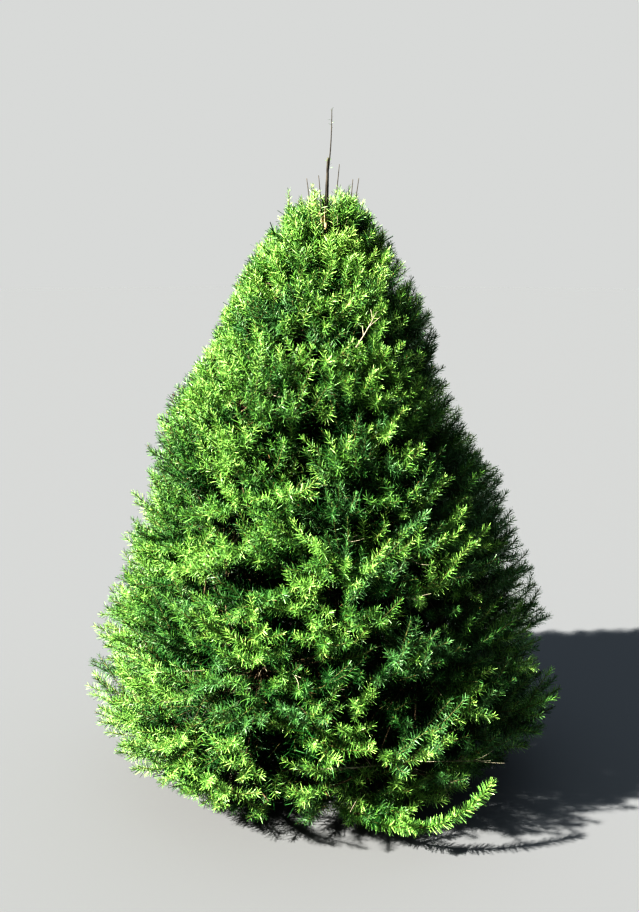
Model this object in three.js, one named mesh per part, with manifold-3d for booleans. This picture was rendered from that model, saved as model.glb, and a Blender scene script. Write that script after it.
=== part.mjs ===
// A young Douglas fir, sheared to a full cone about two metres tall and rooted in the ground.
// Lengths are millimetres, +Z is up and the origin is the middle of the flat cut under the trunk.
// The front of the tree is -Y. Every angle is in radians unless its name says degrees.
import * as THREE from "three";
import { mergeVertices } from "three/addons/utils/BufferGeometryUtils.js";
import Module from "manifold-3d";

// Driving dimensions of the whole tree.
const TREE_HEIGHT = 2000; // ground to the tip of the live leader
const CROWN_TOP = 1800; // top of the sheared foliage, below the leader
const CROWN_RADIUS = 745; // reach of the foliage where the crown is widest
const WIDEST_Z = 350;
const CROWN_FOOT = 50; // lowest height that the crown's outline is drawn to
const CROWN_POWER = 0.66; // under 1 bulges the cone outwards
const FOOT_TUCK = 0.3; // share of the radius lost between the widest height and the foot
const BULGE = 0.12; // the crown is fuller by this share on one side, above half way up
const BULGE_Z = 1170;
const BULGE_SPAN = 210;
const BULGE_AZIMUTH = Math.PI;

// Trunk, from the flat cut to the stub of the clipped leader, with the live leader beside it.
const TRUNK_RADIUS = 37; // above the root flare
const FLARE_RADIUS = 17; // added at the ground
const FLARE_HEIGHT = 55;
const FLARE_LOBES = 5;
const FLARE_LOBE_DEPTH = 0.16;
const STUB_Z = 1868;
const STUB_RADIUS = 4.5;
const TRUNK_TAPER = 0.85;
const TRUNK_SWAY = { x: 5.4, y: 9 }; // how far the stem wanders from its line
const TRUNK_LEAN = 14; // sideways shift of the stub's top towards +X
const TRUNK_SIDES = 12;
const TRUNK_RINGS = 10;
const RING_CROWDING = 1.7; // over 1 crowds the rings towards the flare
const LEADER_Z = 1820; // where the live leader leaves the trunk
const LEADER_RADIUS = 3.2;
const LEADER_TIP_RADIUS = 1.4;
const LEADER_LEAN = { x: 12, y: -2 };
const LEADER_SWING = 0.4; // share of the leader's length by which it has stepped aside from the stub

// Limbs leave the trunk in tiers. One that starts at height h climbs by rise(h) per millimetre outwards.
const RISE_AT_GROUND = -0.02;
const RISE_PER_MM = 0.0008;
const TIER_MASSES = [5, 5, 5, 5, 4, 4, 3, 2];
const BOUGH_TIERS = 5; // the tiers above these grow straight from the trunk
const TIER_FLOOR = 20;
const TIER_STEP = 232;
const TIER_SHRINK = 3.9;
const CROWN_START_TOP = 1700; // where the highest shoots leave the trunk
const FIRST_AZIMUTH = THREE.MathUtils.degToRad(-68);
const TIER_TURN = THREE.MathUtils.degToRad(27.5); // staggers each tier's masses over the gaps below

// One limb, in shares of its cell: across, up, and outwards to the outline.
const LIMB_SWING = 0.3; // how far a limb may stray from the middle of its cell
const LIMB_MIDDLE = { across: 1.1, up: 0.36, out: 0.5, stray: 0.08 }; // across: times the limb's swing
const LIMB_END = { across: 0.6, up: 0.56, out: 0.74 };
const BOUGH_SHARE = 0.55; // of the limb's curve, where the bough ends and its foliage begins
const LIMB_RADIUS = 12;
const LIMB_RADIUS_PER_MM = -0.0033;
const LIMB_TIP_RADIUS = 2.6;
const LIMB_TAPER = 0.8;
const LIMB_SIDES = 6;

// Foliage.
// A mass's core, in shares of its cell, boxier than a ball by its squareness.
const CORE = { across: 0.9, up: 0.47, out: 0.18, middle: 0.68, lump: 0.08, squareness: 0.45 };
const CELL_MARGIN = 3; // free space that foliage leaves inside its own cell
const OUTLINE_SLACK = 1.02; // how far past the crown's outline a spray's corner may reach
const LIMB_CLEARANCE = { bough: 12, trunk: 8 }; // that twigs and sprays keep from the tree's limbs
const TIER_TWIGS = [9, 9, 8, 8, 8, 6, 6, 6]; // twigs with a spray in each mass of a tier
const TOP_SHOOTS = 70; // the highest tier's twigs may end this much above the outline
// Where a twig forks into its spray, as a share of the way from the core's middle to the twig's target.
const FORK = { across: 0.64, up: 0.5, out: 0.73, drop: 0.07 };
const TWIG_FIRST_ROOT = 0.63; // of the limb's curve, where twigs may start
const TWIG_LAST_ROOT = 0.97; // where the foremost twigs leave it
const TWIG_SETBACK = 0.3; // and how much earlier the sideways ones do
const TWIG_RADIUS = 3.4;
const TWIG_TIP_RADIUS = 2.2;
const TWIG_REACH = { across: 0.86, low: 0.1, high: 0.9, out: 0.94 }; // where in the cell twigs may end
const TWIG_STRAY = { across: 0.05, up: 0.04 };
const SPRAY_ROLL = 0.8; // how far a spray may turn about its stem
const SPRAY_WIDTH = 0.6; // of its length
const SPRAY_THICKNESS = 0.045;
const ROOT_DEPTH = 9; // how far a twig runs on into its spray
const GROUND_CLEARANCE = 9;
// One long low shoot of the first mass runs out past the crown and lifts at its tip. Across, up, out.
const LOW_SHOOT = [
  [-0.5, 0.2, 0.8],
  [0.2, 0.1, 1.12],
  [0.68, 0.36, 1.04],
];
const LOW_SHOOT_SPRAYS = { count: 4, from: 0.4, to: 0.78, roll: 0.4 }; // shares of the shoot's curve
const SEAM = 0.3; // gap between solids that meet

const UP = new THREE.Vector3(0, 0, 1);
const wasm = await Module();
wasm.setup();

// Repeatable random numbers from 0 to 1.
function seeded(seed) {
  let state = seed >>> 0;
  return () => {
    state = (state + 0x6d2b79f5) >>> 0;
    let t = Math.imul(state ^ (state >>> 15), state | 1);
    t ^= t + Math.imul(t ^ (t >>> 7), t | 61);
    return ((t ^ (t >>> 14)) >>> 0) / 4294967296;
  };
}

const clamp = THREE.MathUtils.clamp;
const lerp = THREE.MathUtils.lerp;
const either = (random, size) => size * (2 * random() - 1);

// Solids
function solidFrom(geometry) {
  const bare = geometry.clone();
  bare.deleteAttribute("normal");
  bare.deleteAttribute("uv");
  const merged = mergeVertices(bare, 1e-3);
  return new wasm.Manifold(
    new wasm.Mesh({
      numProp: 3,
      vertProperties: merged.attributes.position.array,
      triVerts: new Uint32Array(merged.index.array),
    }),
  );
}

function geometryFrom(solid) {
  const mesh = solid.getMesh();
  const places = new Float32Array(mesh.numVert * 3);
  for (let i = 0; i < mesh.numVert; i++) {
    places.set(mesh.vertProperties.subarray(i * mesh.numProp, i * mesh.numProp + 3), i * 3);
  }
  const geometry = new THREE.BufferGeometry();
  geometry.setAttribute("position", new THREE.BufferAttribute(places, 3));
  geometry.setIndex(new THREE.BufferAttribute(mesh.triVerts, 1));
  geometry.computeVertexNormals();
  return geometry;
}

// The one connected body that holds most of a solid. Scraps and sealed hollows go.
function largestBody(solid) {
  const bodies = solid.decompose();
  return bodies.reduce((best, body) => (body.volume() > best.volume() ? body : best));
}

function reshape(geometry, place) {
  const position = geometry.attributes.position;
  const point = new THREE.Vector3();
  for (let i = 0; i < position.count; i++) {
    point.fromBufferAttribute(position, i);
    const moved = place(point);
    position.setXYZ(i, moved.x, moved.y, moved.z);
  }
  return geometry;
}

// Two directions square to a heading, the first of them level.
function frameOf(heading) {
  const side = new THREE.Vector3().crossVectors(UP, heading);
  if (side.length() < 0.02) side.set(1, 0, 0);
  side.normalize();
  return { side, top: new THREE.Vector3().crossVectors(heading, side) };
}

// A closed round tube that follows curve between two of its parameters.
function tube(curve, from, to, radiusAt, sides, rings) {
  const rod = new THREE.CylinderGeometry(1, 1, 1, sides, rings);
  return reshape(rod, (p) => {
    const t = lerp(from, to, p.y + 0.5);
    const { side, top } = frameOf(curve.getTangent(t));
    return curve
      .getPoint(t)
      .addScaledVector(side, -p.x * radiusAt(t))
      .addScaledVector(top, p.z * radiusAt(t));
  });
}

// Trunk
function trunkAxis(z) {
  const share = z / STUB_Z;
  return new THREE.Vector2(
    TRUNK_LEAN * share * share + TRUNK_SWAY.x * Math.sin(share * Math.PI * 2),
    TRUNK_SWAY.y * Math.sin(share * Math.PI * 1.5),
  );
}

function trunkRadius(z) {
  const share = clamp(z / STUB_Z, 0, 1);
  const stem = STUB_RADIUS + (TRUNK_RADIUS - STUB_RADIUS) * Math.pow(1 - share, TRUNK_TAPER);
  return stem + FLARE_RADIUS * Math.exp(-z / FLARE_HEIGHT);
}

// The trunk with its live leader. Grown outwards it cuts clear space for what meets it.
function trunkSolid(grown) {
  const rod = new THREE.CylinderGeometry(1, 1, 1, TRUNK_SIDES, TRUNK_RINGS);
  const stem = reshape(rod, (p) => {
    const z = STUB_Z * Math.pow(p.y + 0.5, RING_CROWDING);
    const angle = Math.atan2(p.z, p.x);
    const lobes = 1 + FLARE_LOBE_DEPTH * Math.cos(FLARE_LOBES * angle) * Math.exp(-z / FLARE_HEIGHT);
    const radius = trunkRadius(z) * lobes + grown;
    const axis = trunkAxis(z);
    return new THREE.Vector3(axis.x + p.x * radius, axis.y - p.z * radius, z);
  });
  const foot = trunkAxis(LEADER_Z);
  const top = foot.clone().add(LEADER_LEAN);
  const curve = new THREE.QuadraticBezierCurve3(
    new THREE.Vector3(foot.x, foot.y, LEADER_Z),
    new THREE.Vector3(top.x, top.y, lerp(LEADER_Z, TREE_HEIGHT, LEADER_SWING)),
    new THREE.Vector3(top.x, top.y, TREE_HEIGHT),
  );
  const radiusAt = (t) => lerp(LEADER_RADIUS, LEADER_TIP_RADIUS, t) + grown;
  return solidFrom(stem).add(solidFrom(tube(curve, 0, 1, radiusAt, 6, 5)));
}

// Crown outline and the cells that share it out
function crownRadius(z, azimuth) {
  const above = clamp((z - WIDEST_Z) / (CROWN_TOP - WIDEST_Z), 0, 1);
  const below = clamp((WIDEST_Z - z) / (WIDEST_Z - CROWN_FOOT), 0, 1);
  const cone = Math.pow(1 - above, CROWN_POWER) * (1 - FOOT_TUCK * below ** 3);
  const height = (z - BULGE_Z) / BULGE_SPAN;
  return CROWN_RADIUS * cone * (1 + BULGE * Math.exp(-height * height) * Math.cos(azimuth - BULGE_AZIMUTH));
}

const rise = (start) => RISE_AT_GROUND + RISE_PER_MM * start;
const startOf = (z, r) => (z - RISE_AT_GROUND * r) / (1 + RISE_PER_MM * r);
const tierFloor = (tier) => TIER_FLOOR + TIER_STEP * tier - TIER_SHRINK * tier * tier;

// How far out the rising surface that leaves the trunk at height start meets the crown's outline.
function reachOf(start, azimuth) {
  let near = 0;
  let far = CROWN_RADIUS * 1.3;
  for (let i = 0; i < 30; i++) {
    const middle = (near + far) / 2;
    if (middle < crownRadius(start + rise(start) * middle, azimuth)) near = middle;
    else far = middle;
  }
  return near;
}

// The space of one mass: across from -1 to 1, up from 0 to 1, out from 0 at the trunk to 1 at the outline.
function makeCell(tier, index) {
  const masses = TIER_MASSES[tier];
  const low = tierFloor(tier);
  const topOpen = tier === TIER_MASSES.length - 1;
  const high = topOpen ? CROWN_START_TOP : tierFloor(tier + 1);
  const halfWidth = Math.PI / masses;
  const azimuth = FIRST_AZIMUTH + TIER_TURN * tier + 2 * halfWidth * index;
  const random = seeded(1000 + 20 * tier + index);

  function point(across, up, out) {
    const angle = azimuth + across * halfWidth;
    const start = lerp(low, high, up);
    const r = out * reachOf(start, angle);
    const z = start + rise(start) * r;
    const axis = trunkAxis(z);
    return new THREE.Vector3(axis.x + r * Math.cos(angle), axis.y + r * Math.sin(angle), z);
  }

  function locate(p) {
    const axis = trunkAxis(p.z);
    const x = p.x - axis.x;
    const y = p.y - axis.y;
    const r = Math.hypot(x, y);
    const turn = Math.atan2(y, x) - azimuth;
    const off = Math.atan2(Math.sin(turn), Math.cos(turn));
    return { r, off, start: startOf(p.z, r), azimuth: azimuth + off };
  }

  function holds(p, inner) {
    const at = locate(p);
    if (p.z < GROUND_CLEARANCE || at.r < inner) return false;
    if (at.r * Math.sin(halfWidth - Math.abs(at.off)) < CELL_MARGIN) return false;
    if (at.start < low + CELL_MARGIN || (!topOpen && at.start > high - CELL_MARGIN)) return false;
    return topOpen || at.r < reachOf(at.start, at.azimuth) * OUTLINE_SLACK;
  }

  const swing = either(random, LIMB_SWING);
  const limb = new THREE.QuadraticBezierCurve3(
    point(swing, 0.5, 0),
    point(swing * LIMB_MIDDLE.across, LIMB_MIDDLE.up + either(random, LIMB_MIDDLE.stray), LIMB_MIDDLE.out),
    point(swing * LIMB_END.across, LIMB_END.up, LIMB_END.out),
  );
  const base = LIMB_RADIUS + LIMB_RADIUS_PER_MM * low;
  const limbRadius = (t) => lerp(base, LIMB_TIP_RADIUS, Math.pow(t, LIMB_TAPER));
  return { tier, index, topOpen, swing, random, point, holds, limb, limbRadius };
}

// Limb's parameter that lies half a seam beyond t.
const pastSeam = (curve, t, way) => {
  const step = 1e-3;
  return t + (way * SEAM * 0.5 * step) / curve.getPoint(t).distanceTo(curve.getPoint(t + step));
};

function boughSolid(cell, trunkGrown) {
  const end = pastSeam(cell.limb, BOUGH_SHARE, -1);
  const limb = solidFrom(tube(cell.limb, 0, end, cell.limbRadius, LIMB_SIDES, 3));
  return largestBody(limb.subtract(trunkGrown));
}

// A spray of needled shoots: a thin blade on a stalk, with a tip and two forward teeth on each side.
// Places are shares of the length, from the root, and of half the width.
const SPRAY_CENTRE = 0.42;
const SPRAY_OUTLINE = [
  [1, 0],
  [0.66, 0.22],
  [0.8, 0.64],
  [0.52, 0.26],
  [0.6, 1],
  [0.3, 0.14],
  [0, 0],
];

function spraySolid(root, heading, roll, length) {
  const corners = 2 * (SPRAY_OUTLINE.length - 1);
  const blade = new THREE.SphereGeometry(1, corners, 2);
  const { side, top } = frameOf(heading);
  const flat = side.clone().applyAxisAngle(heading, roll);
  const across = top.clone().applyAxisAngle(heading, roll);
  return solidFrom(
    reshape(blade, (p) => {
      const corner = Math.round((Math.atan2(p.z, p.x) / (2 * Math.PI)) * corners);
      const pole = Math.abs(p.y) > 0.5;
      const [along, wide] = pole ? [SPRAY_CENTRE, 0] : SPRAY_OUTLINE[Math.abs(corner)];
      return root
        .clone()
        .addScaledVector(heading, along * length)
        .addScaledVector(flat, (Math.sign(corner) * wide * length * SPRAY_WIDTH) / 2)
        .addScaledVector(across, (-p.y * length * SPRAY_THICKNESS) / 2);
    }),
  );
}

// The lumpy middle of a mass, too dense to see through.
function coreSolid(cell) {
  const ball = new THREE.SphereGeometry(1, 8, 4);
  const shift = 2 * Math.PI * cell.random();
  const squared = (share) =>
    Math.abs(share) < 1e-6 ? 0 : Math.sign(share) * Math.abs(share) ** CORE.squareness;
  return solidFrom(
    reshape(ball, (p) => {
      const swell = 1 + CORE.lump * Math.sin(3 * Math.atan2(p.z, p.x) + shift) * (1 - p.y * p.y);
      return cell.point(
        squared(p.x) * CORE.across * swell,
        0.5 - squared(p.y) * CORE.up * swell,
        CORE.middle - squared(p.z) * CORE.out,
      );
    }),
  );
}

// Where twig number i of a cell ends: an even scatter over the cell's outer face, which more twigs fill.
function twigTarget(cell, i) {
  const across = ((0.5 + i * 0.7548776662466927) % 1) * 2 - 1;
  const up = (0.5 + i * 0.5698402909980532) % 1;
  return {
    across: across * TWIG_REACH.across + either(cell.random, TWIG_STRAY.across),
    up: lerp(TWIG_REACH.low, TWIG_REACH.high, up) + either(cell.random, TWIG_STRAY.up),
    out: lerp(1, TWIG_REACH.out, cell.random()),
  };
}

const twigRadius = (t) => lerp(TWIG_RADIUS, TWIG_TIP_RADIUS, t);

// Twig number i with the spray at its end, or null where either would leave the cell.
function twigSolid(cell, i, inner) {
  const target = twigTarget(cell, i);
  const tip = cell.point(target.across, target.up, target.out);
  if (cell.topOpen) tip.z += TOP_SHOOTS * cell.random();
  const fork = cell.point(
    target.across * FORK.across,
    0.5 + (target.up - 0.5) * FORK.up - FORK.drop,
    FORK.out,
  );
  const away = Math.hypot(target.across - cell.swing * LIMB_END.across, target.up - LIMB_END.up);
  const from = cell.limb.getPoint(Math.max(TWIG_LAST_ROOT - TWIG_SETBACK * away, TWIG_FIRST_ROOT));
  const heading = new THREE.Vector3().subVectors(tip, fork);
  const length = heading.length();
  heading.divideScalar(length);
  const spray = spraySolid(fork, heading, either(cell.random, SPRAY_ROLL), length);
  const corners = spray.getMesh();
  for (let v = 0; v < corners.numVert; v++) {
    const corner = new THREE.Vector3().fromArray(corners.vertProperties, v * corners.numProp);
    if (!cell.holds(corner, inner)) return null;
  }
  const line = new THREE.LineCurve3(from, fork.addScaledVector(heading, ROOT_DEPTH));
  return spray.add(solidFrom(tube(line, 0, 1, twigRadius, 3, 1)));
}

// The long low shoot, with sprays along its outer half.
function lowShootSolid(cell) {
  const path = new THREE.CatmullRomCurve3(LOW_SHOOT.map((place) => cell.point(...place)));
  let shoot = solidFrom(tube(path, 0, 0.94, twigRadius, 4, 5));
  const { count, from, to, roll } = LOW_SHOOT_SPRAYS;
  const length = path.getPoint(1).distanceTo(path.getPoint(to));
  for (let i = 0; i < count; i++) {
    const t = lerp(from, to, i / (count - 1));
    shoot = shoot.add(spraySolid(path.getPoint(t), path.getTangent(t), roll * i, length));
  }
  return shoot;
}

// How near the trunk's middle a cell's twigs and sprays may come.
function innerLimit(cell, onBough) {
  if (!onBough) return trunkRadius(tierFloor(cell.tier)) + LIMB_CLEARANCE.trunk;
  const boughTip = cell.limb.getPoint(BOUGH_SHARE);
  const axis = trunkAxis(boughTip.z);
  return Math.hypot(boughTip.x - axis.x, boughTip.y - axis.y) + LIMB_CLEARANCE.bough;
}

function massSolid(cell, trunkGrown) {
  const onBough = cell.tier < BOUGH_TIERS;
  const start = onBough ? pastSeam(cell.limb, BOUGH_SHARE, 1) : 0;
  const inner = innerLimit(cell, onBough);
  let mass = solidFrom(tube(cell.limb, start, 1, cell.limbRadius, LIMB_SIDES, onBough ? 1 : 3));
  mass = mass.add(coreSolid(cell));
  for (let i = 0; i < TIER_TWIGS[cell.tier]; i++) {
    const twig = twigSolid(cell, i, inner);
    if (twig) mass = mass.add(twig);
  }
  if (cell.tier === 0 && cell.index === 0) mass = mass.add(lowShootSolid(cell));
  return largestBody(onBough ? mass : mass.subtract(trunkGrown));
}

// Assembly
const BARK = new THREE.MeshStandardMaterial({ color: 0x6b5a49, roughness: 0.9, metalness: 0 });
const LIMB_BARK = new THREE.MeshStandardMaterial({ color: 0x7d6548, roughness: 0.85, metalness: 0 });
const NEEDLES = new THREE.MeshStandardMaterial({ color: 0x3f7a2c, roughness: 0.55, metalness: 0 });

const tree = new THREE.Group();
tree.name = "young_douglas_fir";

function addNode(name, solid, material) {
  const mesh = new THREE.Mesh(geometryFrom(solid), material);
  mesh.name = name;
  tree.add(mesh);
}

addNode("trunk", trunkSolid(0), BARK);
const trunkGrown = trunkSolid(SEAM);
TIER_MASSES.forEach((masses, tier) => {
  for (let index = 0; index < masses; index++) {
    const cell = makeCell(tier, index);
    const label = `${tier + 1}_${index + 1}`;
    if (tier < BOUGH_TIERS) addNode(`bough_${label}`, boughSolid(cell, trunkGrown), LIMB_BARK);
    addNode(`foliage_${label}`, massSolid(cell, trunkGrown), NEEDLES);
  }
});

export default tree;
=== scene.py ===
"""A young Douglas fir, sheared to a full cone about two metres tall and rooted in the ground.

Lengths are metres, +Z is up, and the front of the tree is -Y. The trunk, the limbs and the twigs follow
the rule of the solid model, and are carried on to side shoots, needles and buds.
"""

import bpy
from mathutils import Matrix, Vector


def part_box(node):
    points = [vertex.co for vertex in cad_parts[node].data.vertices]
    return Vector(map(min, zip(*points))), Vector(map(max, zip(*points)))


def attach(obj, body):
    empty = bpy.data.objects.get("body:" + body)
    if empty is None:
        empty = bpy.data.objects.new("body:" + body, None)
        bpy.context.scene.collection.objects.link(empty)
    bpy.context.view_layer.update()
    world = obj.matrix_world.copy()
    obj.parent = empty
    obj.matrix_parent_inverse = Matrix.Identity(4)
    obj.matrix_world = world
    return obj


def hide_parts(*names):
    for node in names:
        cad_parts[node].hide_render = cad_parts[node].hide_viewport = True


bl_info = {
    "name": "Young Douglas Fir",
    "version": (1, 0, 0),
    "blender": (4, 5, 0),
    "location": "View3D > Sidebar > Fir",
    "description": "Grows the bark, twigs, needles and buds of a young Douglas fir on its solid model",
    "category": "Add Mesh",
}

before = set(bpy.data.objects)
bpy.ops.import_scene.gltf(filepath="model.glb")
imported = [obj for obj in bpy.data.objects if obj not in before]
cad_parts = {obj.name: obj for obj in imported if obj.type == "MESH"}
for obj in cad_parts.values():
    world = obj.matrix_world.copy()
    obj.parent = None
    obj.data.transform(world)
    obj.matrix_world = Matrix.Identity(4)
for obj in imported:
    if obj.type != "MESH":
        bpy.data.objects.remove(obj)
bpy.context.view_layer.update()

import functools
import math
import random
from typing import NamedTuple

import bmesh
import bpy
import numpy as np
from bpy.props import FloatProperty, FloatVectorProperty, IntProperty, PointerProperty
from mathutils import Matrix, Vector, noise

BODY = "root"
MOST_TRIANGLES = 190_000  # in one piece

# The outline of the crown, as in the solid model.
TREE_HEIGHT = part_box("trunk")[1].z
CROWN_TOP = 1.8
CROWN_RADIUS = 0.745
WIDEST_Z = 0.35
CROWN_FOOT = 0.05
CROWN_POWER = 0.66
FOOT_TUCK = 0.3
BULGE = 0.12
BULGE_Z = 1.17
BULGE_SPAN = 0.21
BULGE_AZIMUTH = math.pi

# The trunk and the leader, as in the solid model.
TRUNK_RADIUS = 0.037
FLARE_RADIUS = 0.017
FLARE_HEIGHT = 0.055
FLARE_LOBES = 5
FLARE_LOBE_DEPTH = 0.16
STUB_Z = 1.868
STUB_RADIUS = 0.0045
TRUNK_TAPER = 0.85
TRUNK_SWAY = (0.0054, 0.009)
TRUNK_SWAY_HALF_TURNS = 1.5
TRUNK_LEAN = 0.014
LEADER_Z = 1.82
LEADER_RADIUS = 0.0028
LEADER_TIP_RADIUS = 0.0012
LEADER_LEAN = Vector((0.012, -0.002, 0))
LEADER_SWING = 0.4

# The tiers of limbs and the cells of foliage, as in the solid model.
RISE_AT_GROUND = -0.02
RISE_PER_METRE = 0.8
TIER_MASSES = (5, 5, 5, 5, 4, 4, 3, 2)
TIER_FLOOR = 0.02
TIER_STEP = 0.232
TIER_SHRINK = 0.0039
CROWN_START_TOP = 1.7
FIRST_AZIMUTH = math.radians(-68)
TIER_TURN = math.radians(27.5)
LIMB_SWING = 0.3
LIMB_MIDDLE = {"across": 1.1, "up": 0.36, "out": 0.5, "stray": 0.08}
LIMB_END = {"across": 0.6, "up": 0.56, "out": 0.74}
LIMB_RADIUS = 0.012
LIMB_RADIUS_PER_METRE = -0.0033
LIMB_TIP_RADIUS = 0.0026
LIMB_TAPER = 0.8
TIER_TWIGS = (9, 9, 8, 8, 8, 6, 6, 6)  # sprays of a mass that the solid model has too
TOP_SHOOTS = 0.07
FORK = {"across": 0.64, "up": 0.5, "out": 0.73, "drop": 0.07}
TWIG_FIRST_ROOT = 0.63
TWIG_LAST_ROOT = 0.97
TWIG_SETBACK = 0.3
TWIG_RADIUS = 0.0034
TWIG_TIP_RADIUS = 0.0022
TWIG_REACH = {"across": 0.86, "low": 0.1, "high": 0.9, "out": 0.94}
TWIG_STRAY = {"across": 0.05, "up": 0.04}
SPRAY_ROLL = 0.8
ACROSS_STEP = 0.7548776662466927  # these two spread the sprays evenly over a mass's outer face
UP_STEP = 0.5698402909980532
CELL_SEED = 1000
SEEDS_PER_TIER = 20

# How much slimmer than the solid model the stub and the leader are, as shares of their radii.
STUB_WORN = 0.68
STUB_WORN_Z = 1.55
STUB_WORN_SPAN = 0.2
LEADER_WORN = 0.78

# The sprays that this script grows beyond the solid model's.
TIER_SPRAYS = (47, 46, 40, 34, 32, 24, 23, 26)  # in each mass of a tier
FINE_REACH = {"across": 1.04, "low": -0.08, "high": 1.04, "out": 0.88}
FINE_FORK = {"across": 0.82, "up": 0.8, "out": 0.74, "drop": 0.05}
FINE_LIFT = 0.045
FINE_OUT = (0.02, 0.06)  # how much further out they end, at the ground and from FINE_OUT_TIER up
FINE_OUT_TIER = 3
FORK_STRAY = 0.27
FORK_OUT_STRAY = 0.08
FORK_BACK = 0.13  # a spray forks at least this far inside its tip
# Painted shade: the inner sprays take the inner and deep tints, dark greens that make the inside of the
# crown read as shaded; partly also the darker green of old needles.
INNER_SPRAYS = (18, 20, 18, 15, 14, 10, 8, 6)  # darker ones behind them
INNER_REACH = {"across": (-1.05, 1.05), "up": (-0.12, 1.05), "out": (0.55, 0.86)}
INNER_TINTS = ("inner", "inner", "deep")
INNER_NEEDLES = {"needle": 2.0, "crowd": 0.24, "bud": 0}
# Painted shade: the trunk twigs take the dark inner tint, for the shade inside the crown.
TRUNK_TWIGS = 300  # dark ones that grow straight from the trunk, between the limbs
TRUNK_TWIG_SEED = 5
TRUNK_TWIG_Z = (0.05, 1.6)
TRUNK_TWIG_POWER = 1.5  # above 1, they stand closer together near the ground
TRUNK_TWIG_FORK = (0.2, 0.38)  # shares of the way to the outline
TRUNK_TWIG_TIP = (0.22, 0.36)
TRUNK_TWIG_TURN = 0.3
TRUNK_TWIG_NEEDLES = {"needle": 2.6, "crowd": 0.2, "bud": 0}

# Each spray and its side shoots. Their lengths are shares of the spray's, and their angles are degrees.
SPRAY_SAG = (0.12, 0.26)
SPRAY_SPARE = 0.02  # how much further out than a side shoot it may end
SHORTEST_SPRAY = 0.12
TIP_NEEDLES = 0.01  # how far the needles at a spray's tip reach past it
TWIG_CROWD = 0.5  # of the spray's own
TWIG_NEEDLED = (0.5, 1.0)
AXIS_RADIUS = 0.0019
SIDE_RADIUS = 0.0014
BACK_RADIUS = 0.0016
SHOOT_TIP_RADIUS = 0.0008
SIDE_PAIRS = (1, 2, 2)  # one of these
SIDE_LAST = 0.74  # where along the spray the last pair may stand
SIDE_STAGGER = 0.7
SIDE_LENGTH = (0.8, 0.5)  # at the spray's foot and at its tip
SIDE_LENGTH_STRAY = (0.75, 1.15)
SIDE_ROLL_STRAY = 0.7
SIDE_FOOT_ANGLE = (38, 62)
SIDE_TIP_ANGLE = (24, 46)
SIDE_LIFT = (0.05, 0.42)
SIDE_NEEDLE = (0.86, 1.0)
BACK_SHARE = 0.3  # of the places for side shoots on the twig behind a spray
BACK_LENGTH = (0.4, 0.7)
BACK_PLACE = (0.6, 0.9)

# Where shoots may end, and how close their needles stand there.
GROUND_CLEARANCE = 0.03
LEAST_RADIUS = 0.03
REACH_MOST = CROWN_RADIUS * 1.3
REACH_HALVINGS = 20
SHORTENINGS = (1.0, 0.86, 0.72, 0.58, 0.44)  # tried in turn, until a shoot fits
CROWD_INSIDE = 0.4
CROWD_OUTSIDE = 1.2
CROWD_FROM = 0.6  # from this share of the way out
CROWD_SPAN = 0.3
# Stops of height and how far out shoots may end there, as a share of the crown's radius.
OUTLINE_SLACK = ((0.0, 0.93), (0.3, 1.0), (0.8, 1.05))
SHOULDER = Vector((-0.37, -0.06, 1.3))
SHOULDER_SPAN = 0.22
SHOULDER_TRIM = 0.15
HOLLOW_SIZE = 0.14
HOLLOW_DEPTH = 0.26
HOLLOW_SLOPE = 1.5
HOLLOW_BARE = 0.34  # past this, HOLLOW_MISSING of the sprays are missing
HOLLOW_MISSING = 0.6
# Where the crown stands back: the middle of each dent, its radius and its strength.
DENTS = (((0.06, -0.66, 0.25), 0.17, 0.75), ((0.36, -0.62, 0.33), 0.2, 0.5))
SETBACK = (0.09, -0.03)  # of most sprays at the front right, at the ground and from SETBACK_TIER up
SETBACK_TIER = 5
SETBACK_SHARE = 0.8
SETBACK_AZIMUTH = math.radians(-44)
SETBACK_SPAN = math.radians(24)
STUB_OPEN_Z = 1.65
STUB_OPEN_RADIUS = 0.04
STUB_OPEN_WIDTH = 0.016
SUN_OPEN_WIDTH = 0.032

# The long low shoot at the front right, its second tip and the tips of the sprays beside its foot.
LOW_SHOOT = ((0.03, -0.47, 0.1), (0.266, -0.583, 0.095), (0.447, -0.59, 0.235))
LOW_SEED = 11
LOW_PARTS = 6
LOW_RADII = (0.0018, 0.0016)
LOW_NEEDLES = {"needle": 1.05, "crowd": 3.4}
LOW_SIDES = 8
LOW_SIDE_PLACE = (0.3, 0.72)
LOW_SIDE_LENGTH = (0.08, 0.05)
LOW_SIDE_ROLL = 0.9
LOW_SIDE_NEEDLES = {"needle": 0.95, "crowd": 2.8}
LOW_FORK = Vector((-0.06, -0.03, 0.05))  # from the middle of the low shoot
LOW_FORK_BOW = Vector((0, -0.012, -0.01))
LOW_FORK_RADII = (0.0018, 0.0009)
LOW_FORK_NEEDLES = {"needle": 0.8, "crowd": 4.2}
LOW_TUFTS = (
    (0.15, -0.52, 0.08), (0.19, -0.545, 0.065), (0.235, -0.54, 0.06), (0.2, -0.5, 0.11),
    (0.155, -0.54, 0.11),
)
LOW_TUFT_ROOT = 0.1
LOW_TUFT_FORK = 0.4
LOW_TUFT_ROLL = 0.5
LOW_TUFT_CROWD = 1.8

# The needles on the leader, in two stretches of it.
LEADER_STEM = (0.0005, 0.0005)
LEADER_NEEDLES = (
    {"tint": "green", "needled": (0.74, 1.0), "needle": 0.42, "crowd": 0.3},
    {"tint": "fresh", "needled": (0.1, 0.26), "needle": 0.5, "crowd": 0.35, "bud": 0},
)
# The second stub, beside the first.
SPUR = (Vector((0.004, 0.002, 1.65)), Vector((-0.002, 0, 1.68)), Vector((-0.0105, -0.001, 1.718)))
SPUR_RADIUS = 0.0042
SPUR_TAPER = (1.25, 0.9)
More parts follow.
